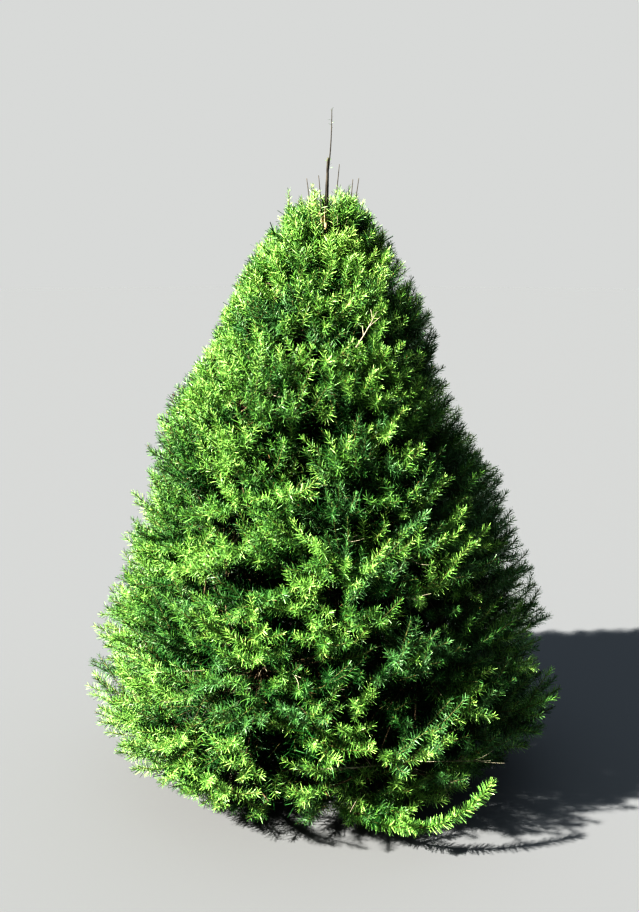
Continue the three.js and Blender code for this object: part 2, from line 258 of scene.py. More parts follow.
# The thin stems that stand up round the leader: foot and tip.
TOP_STEMS = (
    ((0.028, -0.01, 1.70), (0.0465, -0.004, 1.85)),
    ((0.070, -0.02, 1.68), (0.0853, -0.01, 1.808)),
    ((0.080, 0.0, 1.68), (0.1032, 0.01, 1.812)),
    ((-0.035, -0.01, 1.69), (-0.0477, 0.0, 1.811)),
    ((-0.006, -0.02, 1.70), (-0.0131, -0.018, 1.818)),
    ((-0.02, 0.03, 1.69), (-0.03, 0.035, 1.80)),
)
TOP_SEED = 3
TOP_STEM_RADII = (0.0018, 0.001)
TOP_STEM_BOW = Vector((0.003, 0, 0))
TOP_STEM_NEEDLES = {"needled": (0.0, 0.5), "needle": 0.8, "crowd": 0.8}
TOP_STEM_SIDE_PLACE = 0.05
TOP_STEM_SIDE_LENGTH = 0.08
TOP_FINGERS = 34  # upright shoots round the stub
TOP_FINGER_NEEDLE = 0.72
FRONT_FINGERS = 12  # and in front of the trunk below it
FRONT_AZIMUTHS = (-2.3, -0.8)
FINGER_RADII = (0.0016, 0.0008)
FINGER_CROWD = 0.9
# Partly painted light: these sprays take the lightest tint, tip, to brighten the top beside the stub, where
# the sprays on its left cast shade.
TOP_TUFTS = (  # tips of the bright sprays to the right of the stub
    (0.042, -0.12, 1.655), (0.066, -0.125, 1.675), (0.09, -0.115, 1.665), (0.112, -0.095, 1.655),
    (0.06, -0.14, 1.63), (0.088, -0.13, 1.625), (0.118, -0.11, 1.61), (0.075, -0.1, 1.7),
)
TOP_TUFT = {"drop": 0.2, "share": 0.6, "sag": 0.02, "tint": "tip", "needle": 0.8, "crowd": 1.2}
RIGHT_TUFTS = (  # tips of the sprays that stand out into the sun at the crown's upper right
    (0.17, -0.264, 1.432), (0.135, -0.327, 1.348), (0.159, -0.333, 1.308), (0.206, -0.311, 1.286),
    (0.112, -0.375, 1.263), (0.177, -0.351, 1.241), (0.273, -0.287, 1.206), (0.243, -0.252, 1.339),
    (0.196, -0.368, 1.179), (0.329, -0.208, 1.204),
)
RIGHT_TUFT = {"drop": 0.25, "share": 0.78, "sag": 0.01, "tint": "fresh", "crowd": 1.6}
PALE_TWIG = (Vector((0.087, -0.335, 1.361)), Vector((0.144, -0.275, 1.45)))  # a bare one between them
PALE_TWIG_BOW = Vector((0, -0.01, -0.006))
PALE_TWIG_RADII = (0.003, 0.0014)
# Its side twigs: where they leave it and how far they point aside.
PALE_TWIG_SIDES = ((0.35, -0.018), (0.6, 0.018), (0.8, -0.018))
PALE_TWIG_SIDE_LENGTH = 0.03
PALE_TWIG_SIDE_LIFT = 0.004
PALE_TWIG_SIDE_RADII = (0.0014, 0.0007)

# The dry, needleless twigs in the hollows.
BARE_TWIGS = (9, 9, 9, 9, 9, 3, 3, 3)  # in each mass of a tier
BARE_START = (0.35, 0.8)  # along the limb
BARE_OUT = (0.7, 0.93)
BARE_BOW = 0.05
BARE_RADII = (0.0021, 0.0008)
BARE_SIDES = 3
BARE_SIDE_START = (0.4, 0.9)
BARE_SIDE_SPREAD = 0.6
BARE_SIDE_LENGTH = (0.04, 0.08)
BARE_SIDE_BOW = 0.012
BARE_SIDE_RADII = (0.0012, 0.0006)

# The tints of the sprays. They follow the side of the sun, so they are partly fresher growth and partly
# painted light and painted shade: fresh sprays mostly towards the sun, deep and blue-green ones mostly on
# the shaded side.
SUNNY_AZIMUTH = math.radians(205)
# Stops of how sunny a side is and the share of fresh sprays there, and of sprays that aren't deep green.
FRESH_SHARES = ((0.0, 0.22), (0.5, 0.44), (0.7, 0.61), (1.0, 0.36))
BRIGHT_SHARES = ((0.0, 0.72), (0.8, 0.9), (1.0, 0.82))
# Painted light: the extra fresh sprays in the low and upper tiers lighten parts of the crown that lie in
# shade.
FRESH_IN_TIER = (1.5, 1.4, 1.1, 1.0, 1.3, 1.6)  # times as many in each tier
# Painted reflection: blue-green sprays, partly the bloom of the needles, stand for sky reflected in the
# shade, so they are dealt mostly to the shaded side.
BLUE_SHADE_SHARE = 0.42  # on the shaded side
TOP_TIP_SHARE = 0.25  # in the tiers above those
TOP_GREEN_SHARE = 0.25

# The needles. Leans are in degrees off the shoot.
NEEDLE_SEED = 7
LEAST_NEEDLES = 3  # on a shoot
NEEDLE_LEAN = 76
NEEDLE_LEAN_LOSS = 44  # towards the shoot's tip
NEEDLE_LEAN_STRAY = 9
NEEDLE_LIFT = 0.16
NEEDLE_SIZES = (0.8, 1.12)
NEEDLE_END_LOSS = 0.4  # how much shorter they are at both ends of a shoot
NEEDLE_FACING = {"outward": 0.5, "up": 0.5, "stray": 0.7}
NEEDLE_CURL = 0.05
NEEDLE_TWIST = 0.35
NEEDLE_TIP_WIDTH = 0.5
NEEDLE_SINK = 0.001  # how deep its foot stands in the stem
NEEDLE_CLEARANCE = 0.003
NEEDLE_ROUGHNESS = 0.46
# How a needle's tint strays from its spray's: lighter past the first number, darker below the second.
MOOD = {"along": 0.8, "stray": 0.6, "lighter": 0.85, "darker": -0.05}
DRY_SHARE = 0.045  # of the needles at a shoot's foot
DRY_FOOT = 0.3

# The buds, on one shoot in every BUD_EVERY.
BUD_EVERY = 3
BUD_LENGTH = 0.0055
BUD_RADIUS = 0.0013
BUD_BELLY = 0.4
BUD_SINK = 0.001

# The bark's relief. Across and along are how fine a pattern is.
RIDGE = {"height": 0.0022, "across": 110, "along": 9, "fade": 0.3}
BARK_GRAIN = ((0.0006, 60), (0.0003, 190))
BLISTER = {"height": 0.0011, "across": 55, "along": 80, "slope": 3.2, "trunk": 0.02}
SCAR = {"reach": 0.06, "above": 0.55, "below": 1.1, "height": 0.55, "width": 1.3}
TRUNK_RING_POWER = 1.25  # above 1, the rings stand closer together near the ground
LEADER_SIDES = 12
LEADER_RINGS = 60
SPUR_RINGS = 14
LIMB_SIDES = 10
LIMB_RINGS = 28
LIMB_FOOT = 0.06
COLLAR_HEIGHT = 0.45
COLLAR_LENGTH = 0.012
LIMB_BUMP_HEIGHT = 0.12
LIMB_BUMP_OFF = 0.01
LIMB_BUMP_FINENESS = 90
LEADER_KNOT_HEIGHT = 0.22
LEADER_KNOTS = 34

# The bark's finish: the fineness, detail and roughness of each noise, and the stops of its colours.
TWIG_BLOTCH = (70.0, 4.0)
TWIG_STOPS = (0.35, 0.65)
TWIG_GRAIN = (500.0, 3.0)
TWIG_GRAIN_DEPTH = 0.0005
BARK_BLOTCH = (38.0, 5.0, 0.6)
BARK_STOPS = (0.34, 0.62, 0.78)
BARK_FINE = (260.0, 4.0, 0.65)
BARK_FINE_DEPTH = 0.001
BARK_ROUGHNESS = {"To Min": 0.65, "To Max": 0.95}
BARK_GLOSS = 0.3
BARK_DARKER = 0.6
BARK_LIGHTER = 1.35
GRAIN_STRENGTH = 0.5
LICHEN = (0.17, 0.2, 0.11)
LICHEN_PATCH = (17.0, 3.0)
LICHEN_STOPS = (0.58, 0.7)
LICHEN_MOST = (0.7, 0.7, 0.7)
TAN_ZONE = (1.655, 1.715)
TAN_FADE = (0.02, 0.01)  # outside and inside its ends

# The light and the camera.
SUN_PLACE = Vector((-4.37, -1.81, 3.75))
SUN_FLAT = Vector((SUN_PLACE.x, SUN_PLACE.y, 0))
SUN_WAY = SUN_FLAT.normalized()
SUN_SLOPE = SUN_PLACE.z / SUN_FLAT.length
SUN_COLOUR = (1.0, 0.965, 0.88)
FILL_PLACE = Vector((-3.4, -2.2, 0.5))
FILL_WIDTH = 70
FILL_COLOUR = (1.0, 0.93, 0.62)
BACK_WAY = Vector((0.35, 0.65, 0.67)).normalized()  # where the soft light behind the tree comes from
BACK_COLOUR = (0.82, 0.92, 1.0, 1)
FLOOR_RADIUS = 30
FLOOR_SIDES = 96
CAMERA_PLACE = (-0.0105, -2.93, 1.65)
CAMERA_PITCH = 77.3
CAMERA_LENS = 38.6
CAMERA_SENSOR = 36

UP = Vector((0, 0, 1))
GOLDEN_ANGLE = math.pi * (3 - math.sqrt(5))
UPRIGHT = 0.02  # a heading with less level reach than this counts as straight up
WORD = 0xFFFFFFFF

FOLIAGE_NODES = sorted(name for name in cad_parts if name.startswith("foliage"))
BOUGH_NODES = sorted(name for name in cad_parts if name.startswith("bough"))


def clamp(value):
    return min(max(value, 0.0), 1.0)


def lerp(a, b, share):
    return a + (b - a) * share


def either(chance, size):
    """A random number up to size on either side of 0."""
    return chance.uniform(-size, size)


def scatter(chance, size):
    """A random place up to size away from the origin on each axis."""
    return Vector([either(chance, 1) for _ in range(3)]) * size


# The rule of growth


class Draws:
    """Repeatable random numbers from 0 to 1, the same as the solid model's."""

    def __init__(self, seed):
        self.state = seed

    def next(self):
        self.state = (self.state + 0x6D2B79F5) & WORD
        mixed = ((self.state ^ (self.state >> 15)) * (self.state | 1)) & WORD
        mixed ^= (mixed + (((mixed ^ (mixed >> 7)) * (mixed | 61)) & WORD)) & WORD
        return ((mixed ^ (mixed >> 14)) & WORD) / (WORD + 1)

    def either(self, size):
        return size * (2 * self.next() - 1)


class Curve(NamedTuple):
    """A bent line: it leaves start towards middle and comes into end from there."""

    start: Vector
    middle: Vector
    end: Vector

    def at(self, t):
        return self.start * (1 - t) ** 2 + self.middle * (2 * t * (1 - t)) + self.end * t**2

    def heading(self, t):
        return ((self.middle - self.start) * (1 - t) + (self.end - self.middle) * t).normalized()

    def length(self):
        return ((self.middle - self.start).length + (self.end - self.middle).length + self.chord()) / 2

    def chord(self):
        return (self.end - self.start).length

    def part(self, first, last):
        """The stretch from first to last, as a curve of its own."""
        middle = self.start.lerp(self.middle, first).lerp(self.middle.lerp(self.end, first), last)
        return Curve(self.at(first), middle, self.at(last))

    def shortened(self, share):
        return Curve(self.start, self.start.lerp(self.middle, share), self.start.lerp(self.end, share))


class Shoot(NamedTuple):
    """A stem along a curve, with its radii, the tint of its needles and how they stand."""

    curve: Curve
    thick: float
    thin: float
    tint: str
    needled: tuple = (0.0, 1.0)  # the stretch of its length that has needles
    needle: float = 1.0  # size of its needles
    crowd: float = 1.0  # how close they stand
    bud: float = 1.0  # size of the bud at its tip


def frame_of(heading):
    """Two directions square to a heading, the first of them level."""
    side = UP.cross(heading)
    if side.length < UPRIGHT:
        side = Vector((1, 0, 0))
    side.normalize()
    return side, heading.cross(side)


def trunk_axis(z):
    share = z / STUB_Z
    x = TRUNK_LEAN * share**2 + TRUNK_SWAY[0] * math.sin(share * math.tau)
    return Vector((x, TRUNK_SWAY[1] * math.sin(share * math.pi * TRUNK_SWAY_HALF_TURNS), z))


def trunk_radius(z):
    stem = STUB_RADIUS + (TRUNK_RADIUS - STUB_RADIUS) * (1 - clamp(z / STUB_Z)) ** TRUNK_TAPER
    worn = lerp(1, STUB_WORN, clamp((z - STUB_WORN_Z) / STUB_WORN_SPAN))
    return stem * worn + FLARE_RADIUS * math.exp(-z / FLARE_HEIGHT)


def crown_radius(z, azimuth):
    above = clamp((z - WIDEST_Z) / (CROWN_TOP - WIDEST_Z))
    below = clamp((WIDEST_Z - z) / (WIDEST_Z - CROWN_FOOT))
    cone = (1 - above) ** CROWN_POWER * (1 - FOOT_TUCK * below**3)
    height = (z - BULGE_Z) / BULGE_SPAN
    bulge = BULGE * math.exp(-height * height) * math.cos(azimuth - BULGE_AZIMUTH)
    return CROWN_RADIUS * cone * (1 + bulge)


def rise(start):
    return RISE_AT_GROUND + RISE_PER_METRE * start


def tier_floor(tier):
    return TIER_FLOOR + TIER_STEP * tier - TIER_SHRINK * tier * tier


@functools.cache
def reach_of(start, azimuth):
    """How far out the rising surface that leaves the trunk at height start meets the crown's outline."""
    near, far = 0.0, REACH_MOST
    for _ in range(REACH_HALVINGS):
        middle = (near + far) / 2
        if middle < crown_radius(start + rise(start) * middle, azimuth):
            near = middle
        else:
            far = middle
    return near


class Cell:
    """The space of one mass: across from -1 to 1, up from 0 to 1, and out from 0 at the trunk to 1."""

    def __init__(self, tier, index):
        self.tier = tier
        self.low = tier_floor(tier)
        self.top_open = tier == len(TIER_MASSES) - 1
        self.high = CROWN_START_TOP if self.top_open else tier_floor(tier + 1)
        self.half_width = math.pi / TIER_MASSES[tier]
        self.azimuth = FIRST_AZIMUTH + TIER_TURN * tier + 2 * self.half_width * index
        seed = CELL_SEED + SEEDS_PER_TIER * tier + index
        self.draws = Draws(seed)
        self.chance = random.Random(seed)
        self.swing = self.draws.either(LIMB_SWING)
        middle_up = LIMB_MIDDLE["up"] + self.draws.either(LIMB_MIDDLE["stray"])
        self.limb = Curve(
            self.point(self.swing, 0.5, 0),
            self.point(self.swing * LIMB_MIDDLE["across"], middle_up, LIMB_MIDDLE["out"]),
            self.point(self.swing * LIMB_END["across"], LIMB_END["up"], LIMB_END["out"]),
        )
        self.limb_foot = LIMB_RADIUS + LIMB_RADIUS_PER_METRE * self.low
        self.draws.next()  # the solid model shapes its core with this one

    def point(self, across, up, out):
        angle = self.azimuth + across * self.half_width
        start = lerp(self.low, self.high, up)
        r = out * reach_of(start, angle)
        z = start + rise(start) * r
        return trunk_axis(z) + Vector((r * math.cos(angle), r * math.sin(angle), 0))

    def limb_radius(self, t):
        return lerp(self.limb_foot, LIMB_TIP_RADIUS, t**LIMB_TAPER)


def outline_share(place):
    """How far out a place is: 1 at the crown's outline."""
    axis = trunk_axis(place.z)
    off = place - axis
    limit = crown_radius(place.z, math.atan2(off.y, off.x))
    return math.hypot(off.x, off.y) / max(limit, LEAST_RADIUS)


def crowd_at(place):
    """How close needles stand on a shoot that ends at a place: closer near the outline, where they show."""
    return lerp(CROWD_INSIDE, CROWD_OUTSIDE, clamp((outline_share(place) - CROWD_FROM) / CROWD_SPAN))


def between(stops, place):
    """The value at a place, from stops of (place, value) in order."""
    for (low, near), (high, far) in zip(stops, stops[1:]):
        if place < high:
            return lerp(near, far, (place - low) / (high - low))
    return stops[-1][1]


def outline_limit(place):
    """How far out a shoot may end at a place: less at the sheared shoulder on the left."""
    off = (place - SHOULDER).length / SHOULDER_SPAN
    return between(OUTLINE_SLACK, place.z) - SHOULDER_TRIM * math.exp(-off * off)


def fitted(curve, spare=0.0):
    """The curve, shortened as far as it has to be to end inside the outline and off the ground, or None."""
    for share in SHORTENINGS:
        shorter = curve.shortened(share)
        limit = outline_limit(shorter.end) + spare
        inside = shorter.end.z > GROUND_CLEARANCE and outline_share(shorter.end) < limit
        if inside and clear_of_stub(shorter.end):
            return shorter
    return None


class Tint(NamedTuple):
    """A colour of needles: the ones that its lighter and its darker needles have, and its gloss."""

    lighter: str
    darker: str
    gloss: float


# Inner and deep are partly the darker green of old needles and partly painted shade, dealt to the inside
# and the shaded side of the crown.
TINTS = {
    "inner": Tint("deep", "inner", 0.1),
    "deep": Tint("green", "inner", 0.3),
    "green": Tint("fresh", "deep", 0.5),
    "fresh": Tint("tip", "green", 0.5),
    "tip": Tint("tip", "fresh", 0.45),
    "blue": Tint("green", "deep", 0.6),
    "dry": Tint("dry", "dry", 0.3),
}
TINT_NUMBER = {name: number for number, name in enumerate(TINTS)}


def dent_at(place):
    """How far the crown stands back at a place: above 0 in a dent."""
    depth = 0.0
    for middle, radius, strength in DENTS:
        off = (place - Vector(middle)).length / radius
        depth += strength * math.exp(-off * off)
    return depth


def shade_at(azimuth):
    """0 on the sunny side of the crown, 1 on the other side."""
    return 0.5 - 0.5 * math.cos(azimuth - SUNNY_AZIMUTH)


def clear_of_stub(place):
    """The crown is open round the clipped stub, most of all in front of it."""
    if place.z < STUB_OPEN_Z:
        return True
    off = place - trunk_axis(place.z)
    seen = off.y < 0 and abs(off.x) < STUB_OPEN_WIDTH
    way, beside = off.dot(SUN_WAY), off.cross(SUN_WAY).z
    sunlit = way > 0 and abs(beside) < SUN_OPEN_WIDTH and place.z > STUB_OPEN_Z + way * SUN_SLOPE
    return math.hypot(off.x, off.y) > STUB_OPEN_RADIUS and not seen and not sunlit


def bowed(start, end, bow):
    """The curve from start to end with its middle drawn aside by bow."""
    return Curve(start, start.lerp(end, 0.5) + bow, end)


class Stand(NamedTuple):
    """Where upright shoots stand near the trunk, with ranges in metres for each."""

    foot_z: float
    off: tuple  # from the trunk to their feet
    lean: tuple
    rise: tuple
    bow: float

    def finger(self, azimuth, chance):
        """The curve of one of them."""
        out = Vector((math.cos(azimuth), math.sin(azimuth), 0))
        foot = trunk_axis(self.foot_z) + out * chance.uniform(*self.off)
        tip = foot + out * chance.uniform(*self.lean) + UP * chance.uniform(*self.rise)
        return bowed(foot, tip, out * self.bow)


FRONT_STAND = Stand(1.5, (0.1, 0.16), (-0.03, 0.02), (0.08, 0.2), 0.02)
TOP_STAND = Stand(1.6, (0.05, 0.1), (0, 0.03), (0.1, 0.19), 0.01)


class Crown:
    """Everything that grows on the trunk and the limbs."""

    def __init__(self):
        self.cells = []
        self.twigs = []
        self.shoots = []
        self.stems = []
        self.bare = []

    def side_shoot(self, parent, t, side, roll, length, thick, tint, chance, **needles):
        """Grows a side shoot that sweeps forward and up from its parent, where it has room."""
        heading = parent.heading(t)
        level, top = frame_of(heading)
        flat = (level * math.cos(roll) + top * math.sin(roll)) * side
        wide = math.radians(chance.uniform(*SIDE_FOOT_ANGLE))
        narrow = math.radians(chance.uniform(*SIDE_TIP_ANGLE))
        lift = chance.uniform(*SIDE_LIFT)
        start = parent.at(t)
        middle = start + (heading * math.cos(wide) + flat * math.sin(wide)) * (length * 0.5)
        end = start + (heading * math.cos(narrow) + flat * math.sin(narrow) + UP * lift) * length
        curve = fitted(Curve(start, middle, end))
        if curve is not None:
            size = chance.uniform(*SIDE_NEEDLE) * needles.pop("needle", 1.0)
            crowd = needles.pop("crowd", None) or crowd_at(curve.end)
            shoot = Shoot(curve, thick, SHOOT_TIP_RADIUS, tint, needle=size, crowd=crowd, **needles)
            self.shoots.append(shoot)

    def spray(self, root, fork, tip, roll, tint, chance, **needles):
        """Grows a twig from root to fork, and a leafy spray with side shoots from there to its tip."""
        if fork.z < GROUND_CLEARANCE:
            return
        heading = (tip - fork).normalized()
        tip = tip - heading * TIP_NEEDLES
        length = (tip - fork).length
        sag = UP * (length * chance.uniform(*SPRAY_SAG))
        twig = bowed(root, fork, sag * -0.5)
        axis = fitted(bowed(fork, tip, -sag), SPRAY_SPARE)
        if axis is None:
            return
        # Painted shade: the twig behind a spray and its back shoots take a darker tint than the spray,
        # partly for their older needles.
        inner = "deep" if tint in ("fresh", "tip") else "inner"
        sparse = {**needles, "crowd": needles.get("crowd", 1) * TWIG_CROWD}
        self.twigs.append(Shoot(twig, TWIG_RADIUS, TWIG_TIP_RADIUS, inner, TWIG_NEEDLED, **sparse))
        dense = {**needles, "crowd": needles.get("crowd") or crowd_at(axis.end)}
        self.shoots.append(Shoot(axis, AXIS_RADIUS, SHOOT_TIP_RADIUS, tint, **dense))
        size = max(length, SHORTEST_SPRAY)
        pairs = chance.choice(SIDE_PAIRS)
        for pair in range(pairs):
            for side in (-1, 1):
                t = lerp(0.0, SIDE_LAST, (pair + chance.uniform(0.0, SIDE_STAGGER)) / pairs)
                side_length = size * lerp(*SIDE_LENGTH, t) * chance.uniform(*SIDE_LENGTH_STRAY)
                turned = roll + either(chance, SIDE_ROLL_STRAY)
                growth = (side_length, SIDE_RADIUS, tint, chance)
                self.side_shoot(axis, t, side, turned, *growth, **needles)
        for side in (-1, 1):
            if chance.random() < BACK_SHARE:
                side_length = size * chance.uniform(*BACK_LENGTH)
                t = chance.uniform(*BACK_PLACE)
                growth = (side_length, BACK_RADIUS, inner, chance)
                self.side_shoot(twig, t, side, roll, *growth, **needles)

    def on_limb(self, cell, across, up, out, lift, roll, tint, shape, **needles):
        """Grows a spray from the cell's limb towards a place in its cell."""
        tip = cell.point(across, up, out) + UP * lift
        chance = cell.chance
        stray = FORK_STRAY if shape is FINE_FORK else 0
        fork = cell.point(
            across * shape["across"] + either(chance, stray),
            0.5 + (up - 0.5) * shape["up"] - shape["drop"] + either(chance, stray),
            min(shape["out"] + either(chance, FORK_OUT_STRAY), out - FORK_BACK),
        )
        away = math.hypot(across - cell.swing * LIMB_END["across"], up - LIMB_END["up"])
        root = cell.limb.at(max(TWIG_LAST_ROOT - TWIG_SETBACK * away, TWIG_FIRST_ROOT))
        self.spray(root, fork, tip, roll, tint, chance, **needles)

    def mass(self, cell):
        """Grows one mass: the solid model's sprays first, then finer ones, and darker ones behind, whose
        dark tints paint the shade inside the crown.
        """
        chance = cell.chance
        for number in range(TIER_SPRAYS[cell.tier]):
            fine = number >= TIER_TWIGS[cell.tier]
            reach = FINE_REACH if fine else TWIG_REACH
            share_across = ((0.5 + number * ACROSS_STEP) % 1) * 2 - 1
            share_up = (0.5 + number * UP_STEP) % 1
            across = share_across * reach["across"] + cell.draws.either(TWIG_STRAY["across"])
            up = lerp(reach["low"], reach["high"], share_up) + cell.draws.either(TWIG_STRAY["up"])
            out = lerp(1, reach["out"], cell.draws.next())
            lift = TOP_SHOOTS * cell.draws.next() if cell.top_open else 0
            roll = cell.draws.either(SPRAY_ROLL)
            tint = self.spray_tint(cell, chance)
            place = cell.point(across, up, out)
            hollow = dent_at(place)
            if fine:
                hollow += noise.noise(place / HOLLOW_SIZE)
                if hollow > HOLLOW_BARE and chance.random() < HOLLOW_MISSING:
                    continue
                out += lerp(*FINE_OUT, clamp(cell.tier / FINE_OUT_TIER))
                lift += chance.uniform(0, FINE_LIFT)
                if chance.random() < SETBACK_SHARE:
                    off = (cell.azimuth + across * cell.half_width - SETBACK_AZIMUTH) / SETBACK_SPAN
                    out -= lerp(*SETBACK, clamp(cell.tier / SETBACK_TIER)) * math.exp(-off * off)
            out -= HOLLOW_DEPTH * clamp(hollow * HOLLOW_SLOPE)
            self.on_limb(cell, across, up, out, lift, roll, tint, FINE_FORK if fine else FORK)
        for _ in range(INNER_SPRAYS[cell.tier]):
            across, up, out = (chance.uniform(*INNER_REACH[way]) for way in ("across", "up", "out"))
            tint = chance.choice(INNER_TINTS)
            roll = either(chance, 1)
            self.on_limb(cell, across, up, out, 0, roll, tint, FINE_FORK, **INNER_NEEDLES)

    def spray_tint(self, cell, chance):
        """Sprays are fresher higher up and towards the sunny side, and a few are blue-green, mostly on the
        shaded side: tints that are partly painted light and painted shade.
        """
        draw = chance.random()
        sunny = 1 - shade_at(cell.azimuth)
        if cell.tier >= len(FRESH_IN_TIER):
            fresh = draw < 1 - TOP_GREEN_SHARE
            return "tip" if draw < TOP_TIP_SHARE else "fresh" if fresh else "green"
        blue = lerp(BLUE_SHADE_SHARE, 0.0, sunny * sunny)
        if draw < blue:
            return "blue"
        fresh = between(FRESH_SHARES, sunny) * FRESH_IN_TIER[cell.tier]
        if draw < blue + fresh * (1 - blue):
            return "fresh"
        return "green" if draw < between(BRIGHT_SHARES, sunny) else "deep"

    def trunk_twigs(self):
        """Grows dark twigs straight from the trunk, all the way up; their dark inner tint paints the shade
        inside the crown.
        """
        chance = random.Random(TRUNK_TWIG_SEED)
        for number in range(TRUNK_TWIGS):
            z = lerp(*TRUNK_TWIG_Z, ((number + 0.5) / TRUNK_TWIGS) ** TRUNK_TWIG_POWER)
            azimuth = number * GOLDEN_ANGLE
            reach = reach_of(z, azimuth)
            out = Vector((math.cos(azimuth), math.sin(azimuth), rise(z)))
            root = trunk_axis(z)
            fork = root + out * (reach * chance.uniform(*TRUNK_TWIG_FORK))
            turned = Matrix.Rotation(either(chance, TRUNK_TWIG_TURN), 3, "Z") @ out
            tip = fork + turned * (reach * chance.uniform(*TRUNK_TWIG_TIP))
            self.spray(root, fork, tip, either(chance, 1), "inner", chance, **TRUNK_TWIG_NEEDLES)

    def low_shoot(self):
        """Grows the long low shoot with its side shoots and its second tip, and sprays beside its foot."""
        chance = random.Random(LOW_SEED)
        path = through(*(Vector(place) for place in LOW_SHOOT))
        for number in range(LOW_PARTS):
            part = path.part(number / LOW_PARTS, (number + 1) / LOW_PARTS)
            bud = 1 if number == LOW_PARTS - 1 else 0
            self.shoots.append(Shoot(part, *LOW_RADII, "fresh", bud=bud, **LOW_NEEDLES))
        for number in range(LOW_SIDES):
            side = -1 if number % 2 else 1
            along = number / (LOW_SIDES - 1)
            t = lerp(*LOW_SIDE_PLACE, along)
            length = lerp(*LOW_SIDE_LENGTH, along)
            roll = chance.uniform(0, LOW_SIDE_ROLL) * side
            growth = (length, BACK_RADIUS, "fresh", chance)
            self.side_shoot(path, t, side, roll, *growth, **LOW_SIDE_NEEDLES)
        foot = path.at(0.5)
        fork = bowed(foot, foot + LOW_FORK, LOW_FORK_BOW)
        self.shoots.append(Shoot(fork, *LOW_FORK_RADII, "fresh", **LOW_FORK_NEEDLES))
        root = path.at(LOW_TUFT_ROOT)
        for place in LOW_TUFTS:
            tip = Vector(place)
            fork = root.lerp(tip, LOW_TUFT_FORK)
            roll = either(chance, LOW_TUFT_ROLL)
            self.spray(root, fork, tip, roll, "green", chance, crowd=LOW_TUFT_CROWD)

    def top(self):
        """Grows the leader's few needles, the stems and shoots round it, the tufts and the pale twig."""
        chance = random.Random(TOP_SEED)
        for stretch in LEADER_NEEDLES:
            self.shoots.append(Shoot(leader_curve(), *LEADER_STEM, **stretch))
        for foot, tip in TOP_STEMS:
            stem = bowed(Vector(foot), Vector(tip), TOP_STEM_BOW)
            self.stems.append(Shoot(stem, *TOP_STEM_RADII, "fresh", **TOP_STEM_NEEDLES))
            for side in (-1, 1):
                roll = either(chance, 1)
                growth = (TOP_STEM_SIDE_LENGTH, SIDE_RADIUS, "tip", chance)
                self.side_shoot(stem, TOP_STEM_SIDE_PLACE, side, roll, *growth)
        for number in range(FRONT_FINGERS):
            azimuth = lerp(*FRONT_AZIMUTHS, (number + chance.random()) / FRONT_FINGERS)
            curve = FRONT_STAND.finger(azimuth, chance)
            self.shoots.append(Shoot(curve, *FINGER_RADII, "fresh", crowd=FINGER_CROWD))
        for number in range(TOP_FINGERS):
            curve = TOP_STAND.finger(number * GOLDEN_ANGLE, chance)
            if clear_of_stub(curve.end):
                tint = "fresh" if number % 2 else "tip"
                needles = {"needle": TOP_FINGER_NEEDLE, "crowd": FINGER_CROWD}
                self.shoots.append(Shoot(curve, *FINGER_RADII, tint, **needles))
        self.tufts(TOP_TUFTS, chance, **TOP_TUFT)
        self.tufts(RIGHT_TUFTS, chance, **RIGHT_TUFT)
        twig = bowed(*PALE_TWIG, PALE_TWIG_BOW)
        self.dry_twig(twig, PALE_TWIG_RADII)
        for t, aside in PALE_TWIG_SIDES:
            start = twig.at(t)
            way = twig.heading(t) * PALE_TWIG_SIDE_LENGTH
            end = start + way + Vector((aside, 0, PALE_TWIG_SIDE_LIFT))
            self.dry_twig(bowed(start, end, Vector()), PALE_TWIG_SIDE_RADII)

    def tufts(self, tips, chance, drop, share, sag, tint, **needles):
        """Grows a spray from the trunk to each of the tips, leafy from a share of the way."""
        for place in tips:
            tip = Vector(place)
            root = trunk_axis(tip.z - drop)
            fork = root.lerp(tip, share) - UP * sag
            self.spray(root, fork, tip, either(chance, 1), tint, chance, **needles)

    def dry_twig(self, curve, radii):
        self.bare.append(Shoot(curve, *radii, "dry", bud=0))

    def bare_twigs(self):
        """Grows the dry, needleless twigs that show in the hollows."""
        for cell in self.cells:
            chance = random.Random(cell.tier * 10 + round(cell.azimuth * 100))
            for _ in range(BARE_TWIGS[cell.tier]):
                start = cell.limb.at(chance.uniform(*BARE_START))
                end = cell.point(either(chance, 1), chance.uniform(0, 1), chance.uniform(*BARE_OUT))
                if end.z < GROUND_CLEARANCE:
                    continue
                twig = bowed(start, end, scatter(chance, BARE_BOW))
                self.dry_twig(twig, BARE_RADII)
                for _ in range(BARE_SIDES):
                    t = chance.uniform(*BARE_SIDE_START)
                    foot = twig.at(t)
                    way = (twig.heading(t) + scatter(chance, BARE_SIDE_SPREAD)).normalized()
                    tip = foot + way * chance.uniform(*BARE_SIDE_LENGTH)
                    self.dry_twig(bowed(foot, tip, scatter(chance, BARE_SIDE_BOW)), BARE_SIDE_RADII)


def leader_curve():
    foot = trunk_axis(LEADER_Z)
    top = foot + LEADER_LEAN
    middle = Vector((top.x, top.y, lerp(LEADER_Z, TREE_HEIGHT, LEADER_SWING)))
    return Curve(foot, middle, Vector((top.x, top.y, TREE_HEIGHT)))


def through(start, middle, end):
    """The curve that passes through middle half way."""
    return Curve(start, middle * 2 - (start + end) / 2, end)


@functools.cache
def grow():
    crown = Crown()
    for tier, masses in enumerate(TIER_MASSES):
        for index in range(masses):
            cell = Cell(tier, index)
            crown.cells.append(cell)
            crown.mass(cell)
    crown.trunk_twigs()
    crown.low_shoot()
    crown.top()
    crown.bare_twigs()
    return crown


# Meshes from arrays


